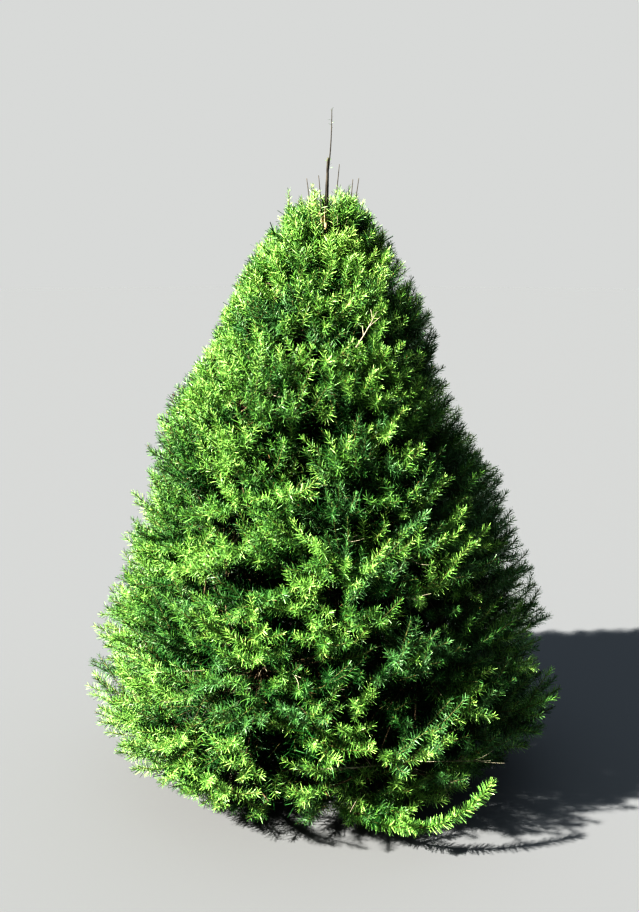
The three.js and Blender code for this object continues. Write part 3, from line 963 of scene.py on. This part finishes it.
def bezier(curves, t):
    """Places and headings on many curves. curves is count x 3 x 3, and t is count x steps."""
    t = t[..., None]
    start, middle, end = (curves[:, None, k] for k in range(3))
    places = start * (1 - t) ** 2 + middle * (2 * t * (1 - t)) + end * t**2
    headings = (middle - start) * (1 - t) + (end - middle) * t
    return places, unit(headings)


def unit(vectors):
    return vectors / np.maximum(np.linalg.norm(vectors, axis=-1, keepdims=True), 1e-9)


def square_to(headings):
    """For each heading, two directions square to it, the first of them level."""
    side = np.cross((0, 0, 1), headings)
    side[np.linalg.norm(side, axis=-1) < UPRIGHT] = (1, 0, 0)
    side = unit(side)
    return side, np.cross(headings, side)


def mesh_from(name, places, *face_groups):
    """A mesh of faces given by arrays, each array with faces of one size."""
    corners = np.concatenate([faces.ravel() for faces in face_groups])
    sizes = np.concatenate([np.full(len(faces), faces.shape[1]) for faces in face_groups])
    mesh = bpy.data.meshes.new(name)
    mesh.vertices.add(len(places))
    mesh.vertices.foreach_set("co", places.astype(np.float32).ravel())
    mesh.loops.add(len(corners))
    mesh.loops.foreach_set("vertex_index", corners.astype(np.int32))
    mesh.polygons.add(len(sizes))
    mesh.polygons.foreach_set("loop_start", (np.cumsum(sizes) - sizes).astype(np.int32))
    mesh.update(calc_edges=True)
    return mesh


def curves_of(shoots):
    return np.array([[tuple(p) for p in shoot.curve] for shoot in shoots])


def stem_mesh(name, shoots, detail):
    """Round, tapering, closed stems, each with a pointed end, as many rings and corners as detail says."""
    curves = curves_of(shoots)
    count = len(shoots)
    share = np.linspace(0, 1, detail)
    places, _ = bezier(curves, np.broadcast_to(share, (count, detail)))
    chord = unit(curves[:, 2] - curves[:, 0])
    side, top = square_to(chord)
    thick = np.array([shoot.thick for shoot in shoots])[:, None]
    thin = np.array([shoot.thin for shoot in shoots])[:, None]
    radius = (thick + (thin - thick) * share)[:, :, None, None]
    turn = np.arange(detail) * (math.tau / detail)
    spoke = side[:, None] * np.cos(turn)[:, None] + top[:, None] * np.sin(turn)[:, None]
    tube = places[:, :, None] + radius * spoke[:, None]
    tip = places[:, -1] + chord * thin
    places = np.concatenate([tube.reshape(count, -1, 3), tip[:, None]], axis=1)
    around = np.arange(detail)
    ring, corner = np.meshgrid(around[:-1] * detail, around, indexing="ij")
    ahead = (corner + 1) % detail
    walls = np.stack([ring + corner, ring + ahead, ring + detail + ahead, ring + detail + corner], axis=-1)
    last = (detail - 1) * detail
    apex = np.full(detail, detail * detail)
    point = np.stack([last + around, last + (around + 1) % detail, apex], axis=-1)
    foot = around[::-1][None]
    base = np.arange(count)[:, None, None] * (detail * detail + 1)
    groups = []
    for faces in (walls, point, foot):
        corners = faces.shape[-1]
        groups.append((base + faces.reshape(-1, corners)).reshape(-1, corners))
    return mesh_from(name, places.reshape(-1, 3), *groups)


def grow_needles(shoots, length, width, per_metre):
    """Needles all round each shoot, in a golden spiral, leaning forward and more so at its tip.

    Gives the four corners of each, a narrow blade with a slight twist, and the number of its tint.
    """
    rng = np.random.default_rng(NEEDLE_SEED)
    lengths = np.array([shoot.curve.length() for shoot in shoots])
    needled = np.array([shoot.needled for shoot in shoots])
    crowd = np.array([shoot.crowd for shoot in shoots])
    scale = np.array([shoot.needle for shoot in shoots])
    tint = np.array([TINT_NUMBER[shoot.tint] for shoot in shoots])
    lighter = np.array([TINT_NUMBER[one.lighter] for one in TINTS.values()])
    darker = np.array([TINT_NUMBER[one.darker] for one in TINTS.values()])
    counts = np.rint(lengths * np.ptp(needled, axis=1) * crowd * per_metre)
    counts = np.maximum(counts, LEAST_NEEDLES).astype(int)
    owner = np.repeat(np.arange(len(shoots)), counts)
    number = np.arange(counts.sum()) - np.repeat(np.cumsum(counts) - counts, counts)
    along = (number + rng.random(len(owner))) / counts[owner]
    t = needled[owner, 0] + np.ptp(needled, axis=1)[owner] * along
    curves = curves_of(shoots)[owner]
    foot, heading = (part[:, 0] for part in bezier(curves, t[:, None]))
    side, top = square_to(heading)
    turn = (number * GOLDEN_ANGLE + rng.random(len(shoots))[owner] * math.tau)[:, None]
    spoke = side * np.cos(turn) + top * np.sin(turn)
    lean = NEEDLE_LEAN - NEEDLE_LEAN_LOSS * along**4 + rng.normal(0, NEEDLE_LEAN_STRAY, len(t))
    lean = np.radians(lean)[:, None]
    way = heading * np.cos(lean) + spoke * np.sin(lean)
    way = unit(way + np.array((0, 0, NEEDLE_LIFT)))
    end_loss = 1 - NEEDLE_END_LOSS * np.abs(2 * along - 1) ** 4
    size = length * scale[owner] * rng.uniform(*NEEDLE_SIZES, len(t)) * end_loss
    outward = unit(foot * np.array((1, 1, 0)))
    stray = rng.normal(0, NEEDLE_FACING["stray"], foot.shape)
    facing = outward * NEEDLE_FACING["outward"] + np.array((0, 0, NEEDLE_FACING["up"])) + stray
    across = unit(np.cross(way, facing))
    upper = np.cross(across, way)
    tip = foot + way * size[:, None] + upper * (size * NEEDLE_CURL)[:, None]
    half = across * (width * 0.5 * scale[owner])[:, None]
    twist = upper * (width * rng.normal(0, NEEDLE_TWIST, len(t)))[:, None]
    twisted = (half + twist) * NEEDLE_TIP_WIDTH
    foot = foot - way * NEEDLE_SINK
    places = np.stack([foot - half, tip - twisted, tip + twisted, foot + half], axis=1)
    mood = along * MOOD["along"] + rng.normal(0, MOOD["stray"], len(t))
    tints = tint[owner]
    changed = np.where(mood < MOOD["darker"], darker[tints], tints)
    tints = np.where(mood > MOOD["lighter"], lighter[tints], changed)
    dry = (along < DRY_FOOT) & (rng.random(len(t)) < DRY_SHARE)
    tints[dry] = TINT_NUMBER["dry"]
    clear = places[:, :, 2].min(axis=1) > NEEDLE_CLEARANCE
    return places[clear], tints[clear]


def needle_mesh(name, places):
    base = np.arange(len(places))[:, None] * 4
    faces = np.concatenate([base + np.array((0, 1, 2)), base + np.array((0, 2, 3))])
    return mesh_from(name, places.reshape(-1, 3), faces)


def bud_mesh(name, shoots):
    """A four-sided spindle at the tip of a shoot."""
    with_bud = [shoot for shoot in shoots[::BUD_EVERY] if shoot.bud > 0]
    curves = curves_of(with_bud)
    heading = unit(curves[:, 2] - curves[:, 1])
    side, top = square_to(heading)
    size = np.array([shoot.bud for shoot in with_bud])[:, None]
    foot = curves[:, 2] - heading * BUD_SINK
    belly = foot + heading * size * BUD_LENGTH * BUD_BELLY
    ring = [belly + spoke * size * BUD_RADIUS for spoke in (side, top, -side, -top)]
    places = np.stack([foot, *ring, foot + heading * size * BUD_LENGTH], axis=1)
    faces = [(0, k % 4 + 1, k) for k in range(1, 5)] + [(5, k, k % 4 + 1) for k in range(1, 5)]
    base = np.arange(len(with_bud))[:, None, None] * 6
    return mesh_from(name, places.reshape(-1, 3), (base + np.array(faces)).reshape(-1, 3))


# Meshes from bmesh operators


def rod(bm, sides, rings, place):
    """Adds a closed rod to bm. place gives each point from its share along the rod and its angle."""
    part = bmesh.new()
    bmesh.ops.create_cone(part, cap_ends=True, segments=sides, radius1=1, radius2=1, depth=1)
    long_edges = [edge for edge in part.edges if abs(edge.verts[0].co.z - edge.verts[1].co.z) > 0.5]
    bmesh.ops.subdivide_edges(part, edges=long_edges, cuts=rings - 1)
    for vert in part.verts:
        vert.co = place(vert.co.z + 0.5, math.atan2(vert.co.y, vert.co.x))
    joined = bpy.data.meshes.new("rod")
    part.to_mesh(joined)
    part.free()
    bm.from_mesh(joined)
    bpy.data.meshes.remove(joined)


def rod_place(curve, share, angle, radius):
    """Where a point of a rod along a curve lies."""
    side, top = frame_of(curve.heading(share))
    return curve.at(share) + (side * math.cos(angle) + top * math.sin(angle)) * radius


def bark_relief(z, angle, limb_feet):
    """How far the bark stands off the trunk: ridges at the foot, grain, blisters and limb collars."""
    radius = trunk_radius(z)
    x, y = math.cos(angle) * radius, math.sin(angle) * radius
    spot = Vector((x, y, z))
    ridge = noise.noise(Vector((spot.x * RIDGE["across"], spot.y * RIDGE["across"], z * RIDGE["along"])))
    height = RIDGE["height"] * ridge * math.exp(-z / RIDGE["fade"])
    height += sum(size * noise.noise(spot * fineness) for size, fineness in BARK_GRAIN)
    cracks = Vector((spot.x * BLISTER["across"], spot.y * BLISTER["across"], z * BLISTER["along"]))
    blister = clamp(1 - noise.voronoi(cracks)[0][0] * BLISTER["slope"])
    height += BLISTER["height"] * blister * clamp(radius / BLISTER["trunk"])
    for foot_z, foot_angle, size in limb_feet:
        drop = z - foot_z
        if abs(drop) > SCAR["reach"]:
            continue
        turn = math.remainder(angle - foot_angle, math.tau) * radius
        upper = drop / SCAR["above" if drop > 0 else "below"]
        off = (turn**2 + upper**2) / (SCAR["width"] * size) ** 2
        height += size * SCAR["height"] * math.exp(-off)
    return height


def trunk_mesh(name, sides, rings, limb_feet):
    bm = bmesh.new()

    def place(share, angle):
        z = STUB_Z * share**TRUNK_RING_POWER
        lobes = 1 + FLARE_LOBE_DEPTH * math.cos(FLARE_LOBES * angle) * math.exp(-z / FLARE_HEIGHT)
        reach = trunk_radius(z) * lobes + bark_relief(z, angle, limb_feet)
        return trunk_axis(z) + Vector((reach * math.cos(angle), reach * math.sin(angle), 0))

    rod(bm, sides, rings, place)
    return finished(bm, name)


def finished(bm, name):
    bmesh.ops.recalc_face_normals(bm, faces=bm.faces)
    mesh = bpy.data.meshes.new(name)
    bm.to_mesh(mesh)
    bm.free()
    mesh.shade_smooth()
    return mesh


# Materials


def principled(name, colour, roughness, specular=0.5):
    """A material with plain values, and its node tree and shader."""
    material = bpy.data.materials.new(name)
    material.use_nodes = True
    tree = material.node_tree
    tree.nodes.clear()
    output = tree.nodes.new("ShaderNodeOutputMaterial")
    shader = tree.nodes.new("ShaderNodeBsdfPrincipled")
    shader.inputs["Base Color"].default_value = (*colour, 1)
    shader.inputs["Roughness"].default_value = roughness
    shader.inputs["Specular IOR Level"].default_value = specular
    tree.links.new(shader.outputs["BSDF"], output.inputs["Surface"])
    return material, tree, shader


def node(tree, kind, inputs=None, **settings):
    """A node with its settings, and with its inputs linked or set."""
    made = tree.nodes.new(kind)
    for key, value in settings.items():
        setattr(made, key, value)
    for key, value in (inputs or {}).items():
        if isinstance(value, bpy.types.NodeSocket):
            tree.links.new(value, made.inputs[key])
        else:
            made.inputs[key].default_value = value
    return made


def ramp(tree, factor, *stops):
    """A colour ramp of (place, colour) stops."""
    made = node(tree, "ShaderNodeValToRGB", {"Fac": factor})
    elements = made.color_ramp.elements
    elements[0].position, elements[1].position = stops[0][0], stops[-1][0]
    elements[0].color, elements[1].color = (*stops[0][1], 1), (*stops[-1][1], 1)
    for place, colour in stops[1:-1]:
        elements.new(place).color = (*colour, 1)
    return made.outputs["Color"]


def mix(tree, factor, first, second):
    """The first colour, with the second over it as far as the factor says."""
    return node(tree, "ShaderNodeMix", {0: factor, 6: first, 7: (*second, 1)}, data_type="RGBA").outputs[2]


def shade(colour, factor):
    return tuple(part * factor for part in colour)


def speckle(tree, place, scale, detail, roughness=0.5):
    """The factor of a noise texture."""
    inputs = {"Vector": place, "Scale": scale, "Detail": detail, "Roughness": roughness}
    return node(tree, "ShaderNodeTexNoise", inputs).outputs["Fac"]


def raise_grain(tree, shader, grain, distance):
    inputs = {"Strength": GRAIN_STRENGTH, "Distance": distance, "Height": grain}
    bump = node(tree, "ShaderNodeBump", inputs)
    tree.links.new(bump.outputs["Normal"], shader.inputs["Normal"])


def twig_material(name, colour, roughness):
    """Thin bark: lighter and darker along the twig, with a fine grain."""
    material, tree, shader = principled(name, colour, roughness, BARK_GLOSS)
    place = node(tree, "ShaderNodeTexCoord").outputs["Object"]
    blotch = speckle(tree, place, *TWIG_BLOTCH)
    stops = zip(TWIG_STOPS, (shade(colour, BARK_DARKER), shade(colour, BARK_LIGHTER)))
    tree.links.new(ramp(tree, blotch, *stops), shader.inputs["Base Color"])
    raise_grain(tree, shader, speckle(tree, place, *TWIG_GRAIN), TWIG_GRAIN_DEPTH)
    return material


def bark_material(name, bark, tan_zone=None):
    """Smooth young bark: blotches, lichen and fine grain, and perhaps weathered between two heights."""
    material, tree, shader = principled(name, bark.light, 0.8, BARK_GLOSS)
    place = node(tree, "ShaderNodeTexCoord").outputs["Object"]
    blotch = speckle(tree, place, *BARK_BLOTCH)
    stops = zip(BARK_STOPS, (bark.dark, bark.light, shade(bark.light, BARK_LIGHTER)))
    base = ramp(tree, blotch, *stops)
    patches = ramp(tree, speckle(tree, place, *LICHEN_PATCH), *zip(LICHEN_STOPS, ((0, 0, 0), LICHEN_MOST)))
    surface = mix(tree, patches, base, LICHEN)
    if tan_zone:
        height = node(tree, "ShaderNodeSeparateXYZ", {"Vector": place}).outputs["Z"]
        bottom, top = tan_zone
        outside, inside = TAN_FADE
        above = {"Value": height, "From Min": bottom - outside, "From Max": bottom + inside}
        below = {"Value": height, "From Min": top + outside, "From Max": top - inside}
        ends = [node(tree, "ShaderNodeMapRange", limits).outputs["Result"] for limits in (above, below)]
        zone = node(tree, "ShaderNodeMath", {0: ends[0], 1: ends[1]}, operation="MULTIPLY")
        surface = mix(tree, zone.outputs["Value"], surface, bark.tan)
    tree.links.new(surface, shader.inputs["Base Color"])
    grain = speckle(tree, place, *BARK_FINE)
    raise_grain(tree, shader, grain, BARK_FINE_DEPTH)
    rough = node(tree, "ShaderNodeMapRange", {"Value": grain, **BARK_ROUGHNESS})
    tree.links.new(rough.outputs["Result"], shader.inputs["Roughness"])
    return material


# Settings


def colour(name, description, default):
    return FloatVectorProperty(
        name=name, description=description, default=default, subtype="COLOR", size=3, min=0, max=1
    )


def amount(name, description, default, **limits):
    return FloatProperty(name=name, description=description, default=default, **limits)


def whole(name, description, default, low, high):
    return IntProperty(name=name, description=description, default=default, min=low, max=high)


class FirNeedleSettings(bpy.types.PropertyGroup):
    """Sizes and tints of the needles."""

    length: amount("Needle length", "Length of a full needle", 0.026, min=0.01, max=0.05, unit="LENGTH")
    width: amount("Needle width", "Width of a needle", 0.0019, min=0.0005, max=0.005, unit="LENGTH")
    per_metre: whole("Needles per metre", "Needles on each metre of shoot", 630, 50, 2000)
    # Painted shade: inner and deep are dark greens for the inside and the shaded side of the crown, partly
    # the colour of old needles.
    inner: colour("Inner", "Old needles in the shade of the crown", (0.012, 0.055, 0.015))
    deep: colour("Deep green", "Needles of older shoots", (0.026, 0.09, 0.024))
    green: colour("Green", "Most of the needles", (0.085, 0.19, 0.056))
    fresh: colour("Fresh green", "Needles of this year's shoots", (0.165, 0.33, 0.08))
    tip: colour("Tip", "Needles at the tips of fresh shoots", (0.32, 0.5, 0.15))
    # Painted reflection: blue-green is partly the bloom of the needles, and is dealt mostly to the shaded
    # side to stand for sky reflected there.
    blue: colour("Blue-green", "Needles of the bloomy shoots", (0.09, 0.205, 0.08))
    dry: colour("Dry", "Dry needles", (0.2, 0.125, 0.065))


class FirBarkSettings(bpy.types.PropertyGroup):
    """How fine the bark is and its colours."""

    sides: whole("Trunk sides", "Corners round the trunk", 56, 12, 128)
    rings: whole("Trunk rings", "Rings along the trunk", 300, 40, 800)
    dark: colour("Dark bark", "Cracks and shaded bark", (0.022, 0.018, 0.015))
    light: colour("Light bark", "Smooth bark", (0.06, 0.052, 0.043))
    tan: colour("Weathered bark", "The pale stretch below the clipped stub", (0.42, 0.33, 0.2))
    twig: colour("Twigs", "Bark of the older twigs", (0.11, 0.08, 0.052))
    stem: colour("New stems", "This year's stems", (0.15, 0.13, 0.055))
    bare: colour("Bare twigs", "Dry twigs without needles", (0.3, 0.27, 0.21))
    bud: colour("Buds", "Scales of the buds", (0.24, 0.09, 0.035))


class FirStageSettings(bpy.types.PropertyGroup):
    """The floor and the light."""

    floor: colour("Floor", "Colour of the floor", (0.1185, 0.1216, 0.1281))
    backdrop: colour("Backdrop", "Colour behind the floor", (0.445, 0.45, 0.445))
    world: amount("Ambient", "Strength of the light from all round", 0.15, min=0, max=5)
    back: amount("Back light", "Strength of the soft light behind the tree", 1.05, min=0)
    fill: amount("Fill light", "Strength of the low, warm light", 0.5, min=0)
    key: amount("Key light", "Strength of the main light", 16.4, min=0)
    softness: amount("Softness", "Width of the main light in degrees", 1.2, min=0)


class FirSettings(bpy.types.PropertyGroup):
    """All settings of the tree."""

    needles: PointerProperty(type=FirNeedleSettings, name="Needles", description="Sizes and tints")
    bark: PointerProperty(type=FirBarkSettings, name="Bark", description="Fineness and colours")
    stage: PointerProperty(type=FirStageSettings, name="Stage", description="Floor and light")


def add_piece(name, mesh, material, nodes=()):
    """Puts a mesh into the scene as a piece of the tree."""
    mesh.materials.append(material)
    piece = bpy.data.objects.new(name, mesh)
    bpy.context.scene.collection.objects.link(piece)
    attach(piece, BODY)
    if nodes:
        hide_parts(*nodes)
    return piece


def add_sun(name, place, strength, degrees, tint):
    """A sun lamp that shines from a place towards the tree's foot."""
    lamp = bpy.data.lights.new(name, "SUN")
    lamp.angle = math.radians(degrees)
    lamp.energy = strength
    lamp.color = tint
    sun = bpy.data.objects.new(name, lamp)
    sun.location = place
    sun.rotation_euler = place.to_track_quat("Z", "Y").to_euler()
    bpy.context.scene.collection.objects.link(sun)


# Operators


class FIR_OT_trunk(bpy.types.Operator):
    """Model the trunk and its leader with their bark"""

    bl_idname = "fir.add_trunk"
    bl_label = "Add Trunk"

    def execute(self, context):
        bark = context.scene.fir.bark
        feet = []
        for cell in grow().cells:
            foot = cell.limb.at(LIMB_FOOT) - trunk_axis(cell.limb.start.z)
            feet.append((cell.limb.start.z, math.atan2(foot.y, foot.x), cell.limb_foot))
        material = bark_material("trunk_bark", bark, TAN_ZONE)
        mesh = trunk_mesh("trunk_bark", bark.sides, bark.rings, feet)
        add_piece("trunk_bark", mesh, material, ["trunk"])

        bm = bmesh.new()
        leader = leader_curve()
        spur = Curve(*SPUR)

        def leader_place(share, angle):
            knots = LEADER_KNOT_HEIGHT * noise.noise(Vector((angle, 0, share * LEADER_KNOTS)))
            radius = lerp(LEADER_RADIUS, LEADER_TIP_RADIUS, share) * LEADER_WORN
            return rod_place(leader, share, angle, radius * (1 + knots))

        def spur_place(share, angle):
            return rod_place(spur, share, angle, SPUR_RADIUS * lerp(*SPUR_TAPER, share))

        rod(bm, LEADER_SIDES, LEADER_RINGS, leader_place)
        rod(bm, LEADER_SIDES, SPUR_RINGS, spur_place)
        add_piece("leader_bark", finished(bm, "leader_bark"), material, ["trunk"])
        return {"FINISHED"}


class FIR_OT_boughs(bpy.types.Operator):
    """Model the limbs with their collars"""

    bl_idname = "fir.add_boughs"
    bl_label = "Add Boughs"

    def execute(self, context):
        bark = context.scene.fir.bark
        bm = bmesh.new()
        for cell in grow().cells:

            def place(share, angle, cell=cell):
                way = cell.limb.chord() * share - trunk_radius(cell.limb.start.z)
                collar = COLLAR_HEIGHT * math.exp(-((way / COLLAR_LENGTH) ** 2))
                off = Vector((math.cos(angle), math.sin(angle), 0)) * LIMB_BUMP_OFF
                spot = (cell.limb.at(share) + off) * LIMB_BUMP_FINENESS
                relief = collar + LIMB_BUMP_HEIGHT * noise.noise(spot)
                return rod_place(cell.limb, share, angle, cell.limb_radius(share) * (1 + relief))

            rod(bm, LIMB_SIDES, LIMB_RINGS, place)
        material = bark_material("bough_bark", bark)
        add_piece("bough_bark", finished(bm, "bough_bark"), material, BOUGH_NODES)
        return {"FINISHED"}


class FIR_OT_twigs(bpy.types.Operator):
    """Grow the twigs, the shoots' stems and the buds"""

    bl_idname = "fir.add_twigs"
    bl_label = "Add Twigs"

    def execute(self, context):
        bark = context.scene.fir.bark
        crown = grow()
        stems = (
            ("twigs", crown.twigs, 4, "twig_bark", bark.twig, 0.8),
            ("new_stems", crown.shoots, 3, "new_stem", bark.stem, 0.65),
            ("top_stems", crown.stems, 6, "top_stem", bark.light, 0.8),
            ("bare_twigs", crown.bare, 4, "bare_twig", bark.bare, 0.85),
        )
        for name, shoots, detail, finish, tint, roughness in stems:
            material = twig_material(finish, tint, roughness)
            add_piece(name, stem_mesh(name, shoots, detail), material, FOLIAGE_NODES)
        material = twig_material("bud_scales", bark.bud, 0.45)
        add_piece("buds", bud_mesh("buds", crown.shoots), material, FOLIAGE_NODES)
        return {"FINISHED"}


class FIR_OT_needles(bpy.types.Operator):
    """Grow the needles, one piece or more for each tint"""

    bl_idname = "fir.add_needles"
    bl_label = "Add Needles"

    def execute(self, context):
        settings = context.scene.fir.needles
        crown = grow()
        shoots = crown.twigs + crown.shoots + crown.stems
        places, tints = grow_needles(shoots, settings.length, settings.width, settings.per_metre)
        for name, tint in TINTS.items():
            blades = places[tints == TINT_NUMBER[name]]
            plain = getattr(settings, name)
            material, _, _ = principled(f"needles_{name}", plain, NEEDLE_ROUGHNESS, tint.gloss)
            parts = np.array_split(blades, math.ceil(2 * len(blades) / MOST_TRIANGLES))
            for number, part in enumerate(parts, 1):
                piece = f"needles_{name}_{number}"
                add_piece(piece, needle_mesh(piece, part), material, FOLIAGE_NODES)
        return {"FINISHED"}


class FIR_OT_stage(bpy.types.Operator):
    """Set up the floor, the light and the camera"""

    bl_idname = "fir.add_stage"
    bl_label = "Add Stage"

    def execute(self, context):
        stage = context.scene.fir.stage
        bm = bmesh.new()
        bmesh.ops.create_circle(bm, cap_ends=True, segments=FLOOR_SIDES, radius=FLOOR_RADIUS)
        floor = bpy.data.objects.new("floor", finished(bm, "floor"))
        material, _, _ = principled("floor", stage.floor, 1.0, 0.0)
        floor.data.materials.append(material)
        context.scene.collection.objects.link(floor)

        world = bpy.data.worlds.new("studio")
        world.use_nodes = True
        tree = world.node_tree
        backdrop = tree.nodes["Background"]
        backdrop.inputs["Color"].default_value = (*stage.backdrop, 1)
        way = node(tree, "ShaderNodeTexCoord").outputs["Generated"]
        back = node(tree, "ShaderNodeVectorMath", {0: way, 1: BACK_WAY}, operation="DOT_PRODUCT")
        limits = {"Value": back.outputs["Value"], "To Min": stage.world, "To Max": stage.back}
        strength = node(tree, "ShaderNodeMapRange", limits).outputs["Result"]
        soft = node(tree, "ShaderNodeBackground", {"Color": BACK_COLOUR, "Strength": strength})
        seen = node(tree, "ShaderNodeLightPath").outputs["Is Camera Ray"]
        mixed = node(tree, "ShaderNodeMixShader", {0: seen, 1: soft.outputs[0], 2: backdrop.outputs[0]})
        tree.links.new(mixed.outputs[0], tree.nodes["World Output"].inputs["Surface"])
        context.scene.world = world
        add_sun("key", SUN_PLACE, stage.key, stage.softness, SUN_COLOUR)
        add_sun("fill", FILL_PLACE, stage.fill, FILL_WIDTH, FILL_COLOUR)

        lens = bpy.data.cameras.new("camera")
        lens.sensor_width = CAMERA_SENSOR
        lens.lens = CAMERA_LENS
        camera = bpy.data.objects.new("camera", lens)
        camera.location = CAMERA_PLACE
        camera.rotation_euler = (math.radians(CAMERA_PITCH), 0, 0)
        context.scene.collection.objects.link(camera)
        context.scene.camera = camera
        context.scene.view_settings.view_transform = "Standard"
        context.scene.view_settings.look = "Very High Contrast"
        return {"FINISHED"}


class FIR_PT_panel(bpy.types.Panel):
    """The tree's pieces in the sidebar"""

    bl_idname = "FIR_PT_panel"
    bl_label = "Young Douglas Fir"
    bl_space_type = "VIEW_3D"
    bl_region_type = "UI"
    bl_category = "Fir"

    def draw(self, context):
        settings = context.scene.fir
        for group in (settings.needles, settings.bark, settings.stage):
            box = self.layout.box()
            for key in group.__annotations__:
                box.prop(group, key)
        for operator in OPERATORS:
            self.layout.operator(operator.bl_idname)


SETTINGS = (FirNeedleSettings, FirBarkSettings, FirStageSettings, FirSettings)
OPERATORS = (FIR_OT_stage, FIR_OT_trunk, FIR_OT_boughs, FIR_OT_twigs, FIR_OT_needles)
CLASSES = (*SETTINGS, *OPERATORS, FIR_PT_panel)


def register():
    for cls in CLASSES:
        bpy.utils.register_class(cls)
    bpy.types.Scene.fir = PointerProperty(type=FirSettings, name="Fir", description="Settings of the tree")


def unregister():
    del bpy.types.Scene.fir
    for cls in reversed(CLASSES):
        bpy.utils.unregister_class(cls)


def main():
    register()
    bpy.ops.fir.add_stage()
    bpy.ops.fir.add_trunk()
    bpy.ops.fir.add_boughs()
    bpy.ops.fir.add_twigs()
    bpy.ops.fir.add_needles()


if __name__ == "__main__":
    main()
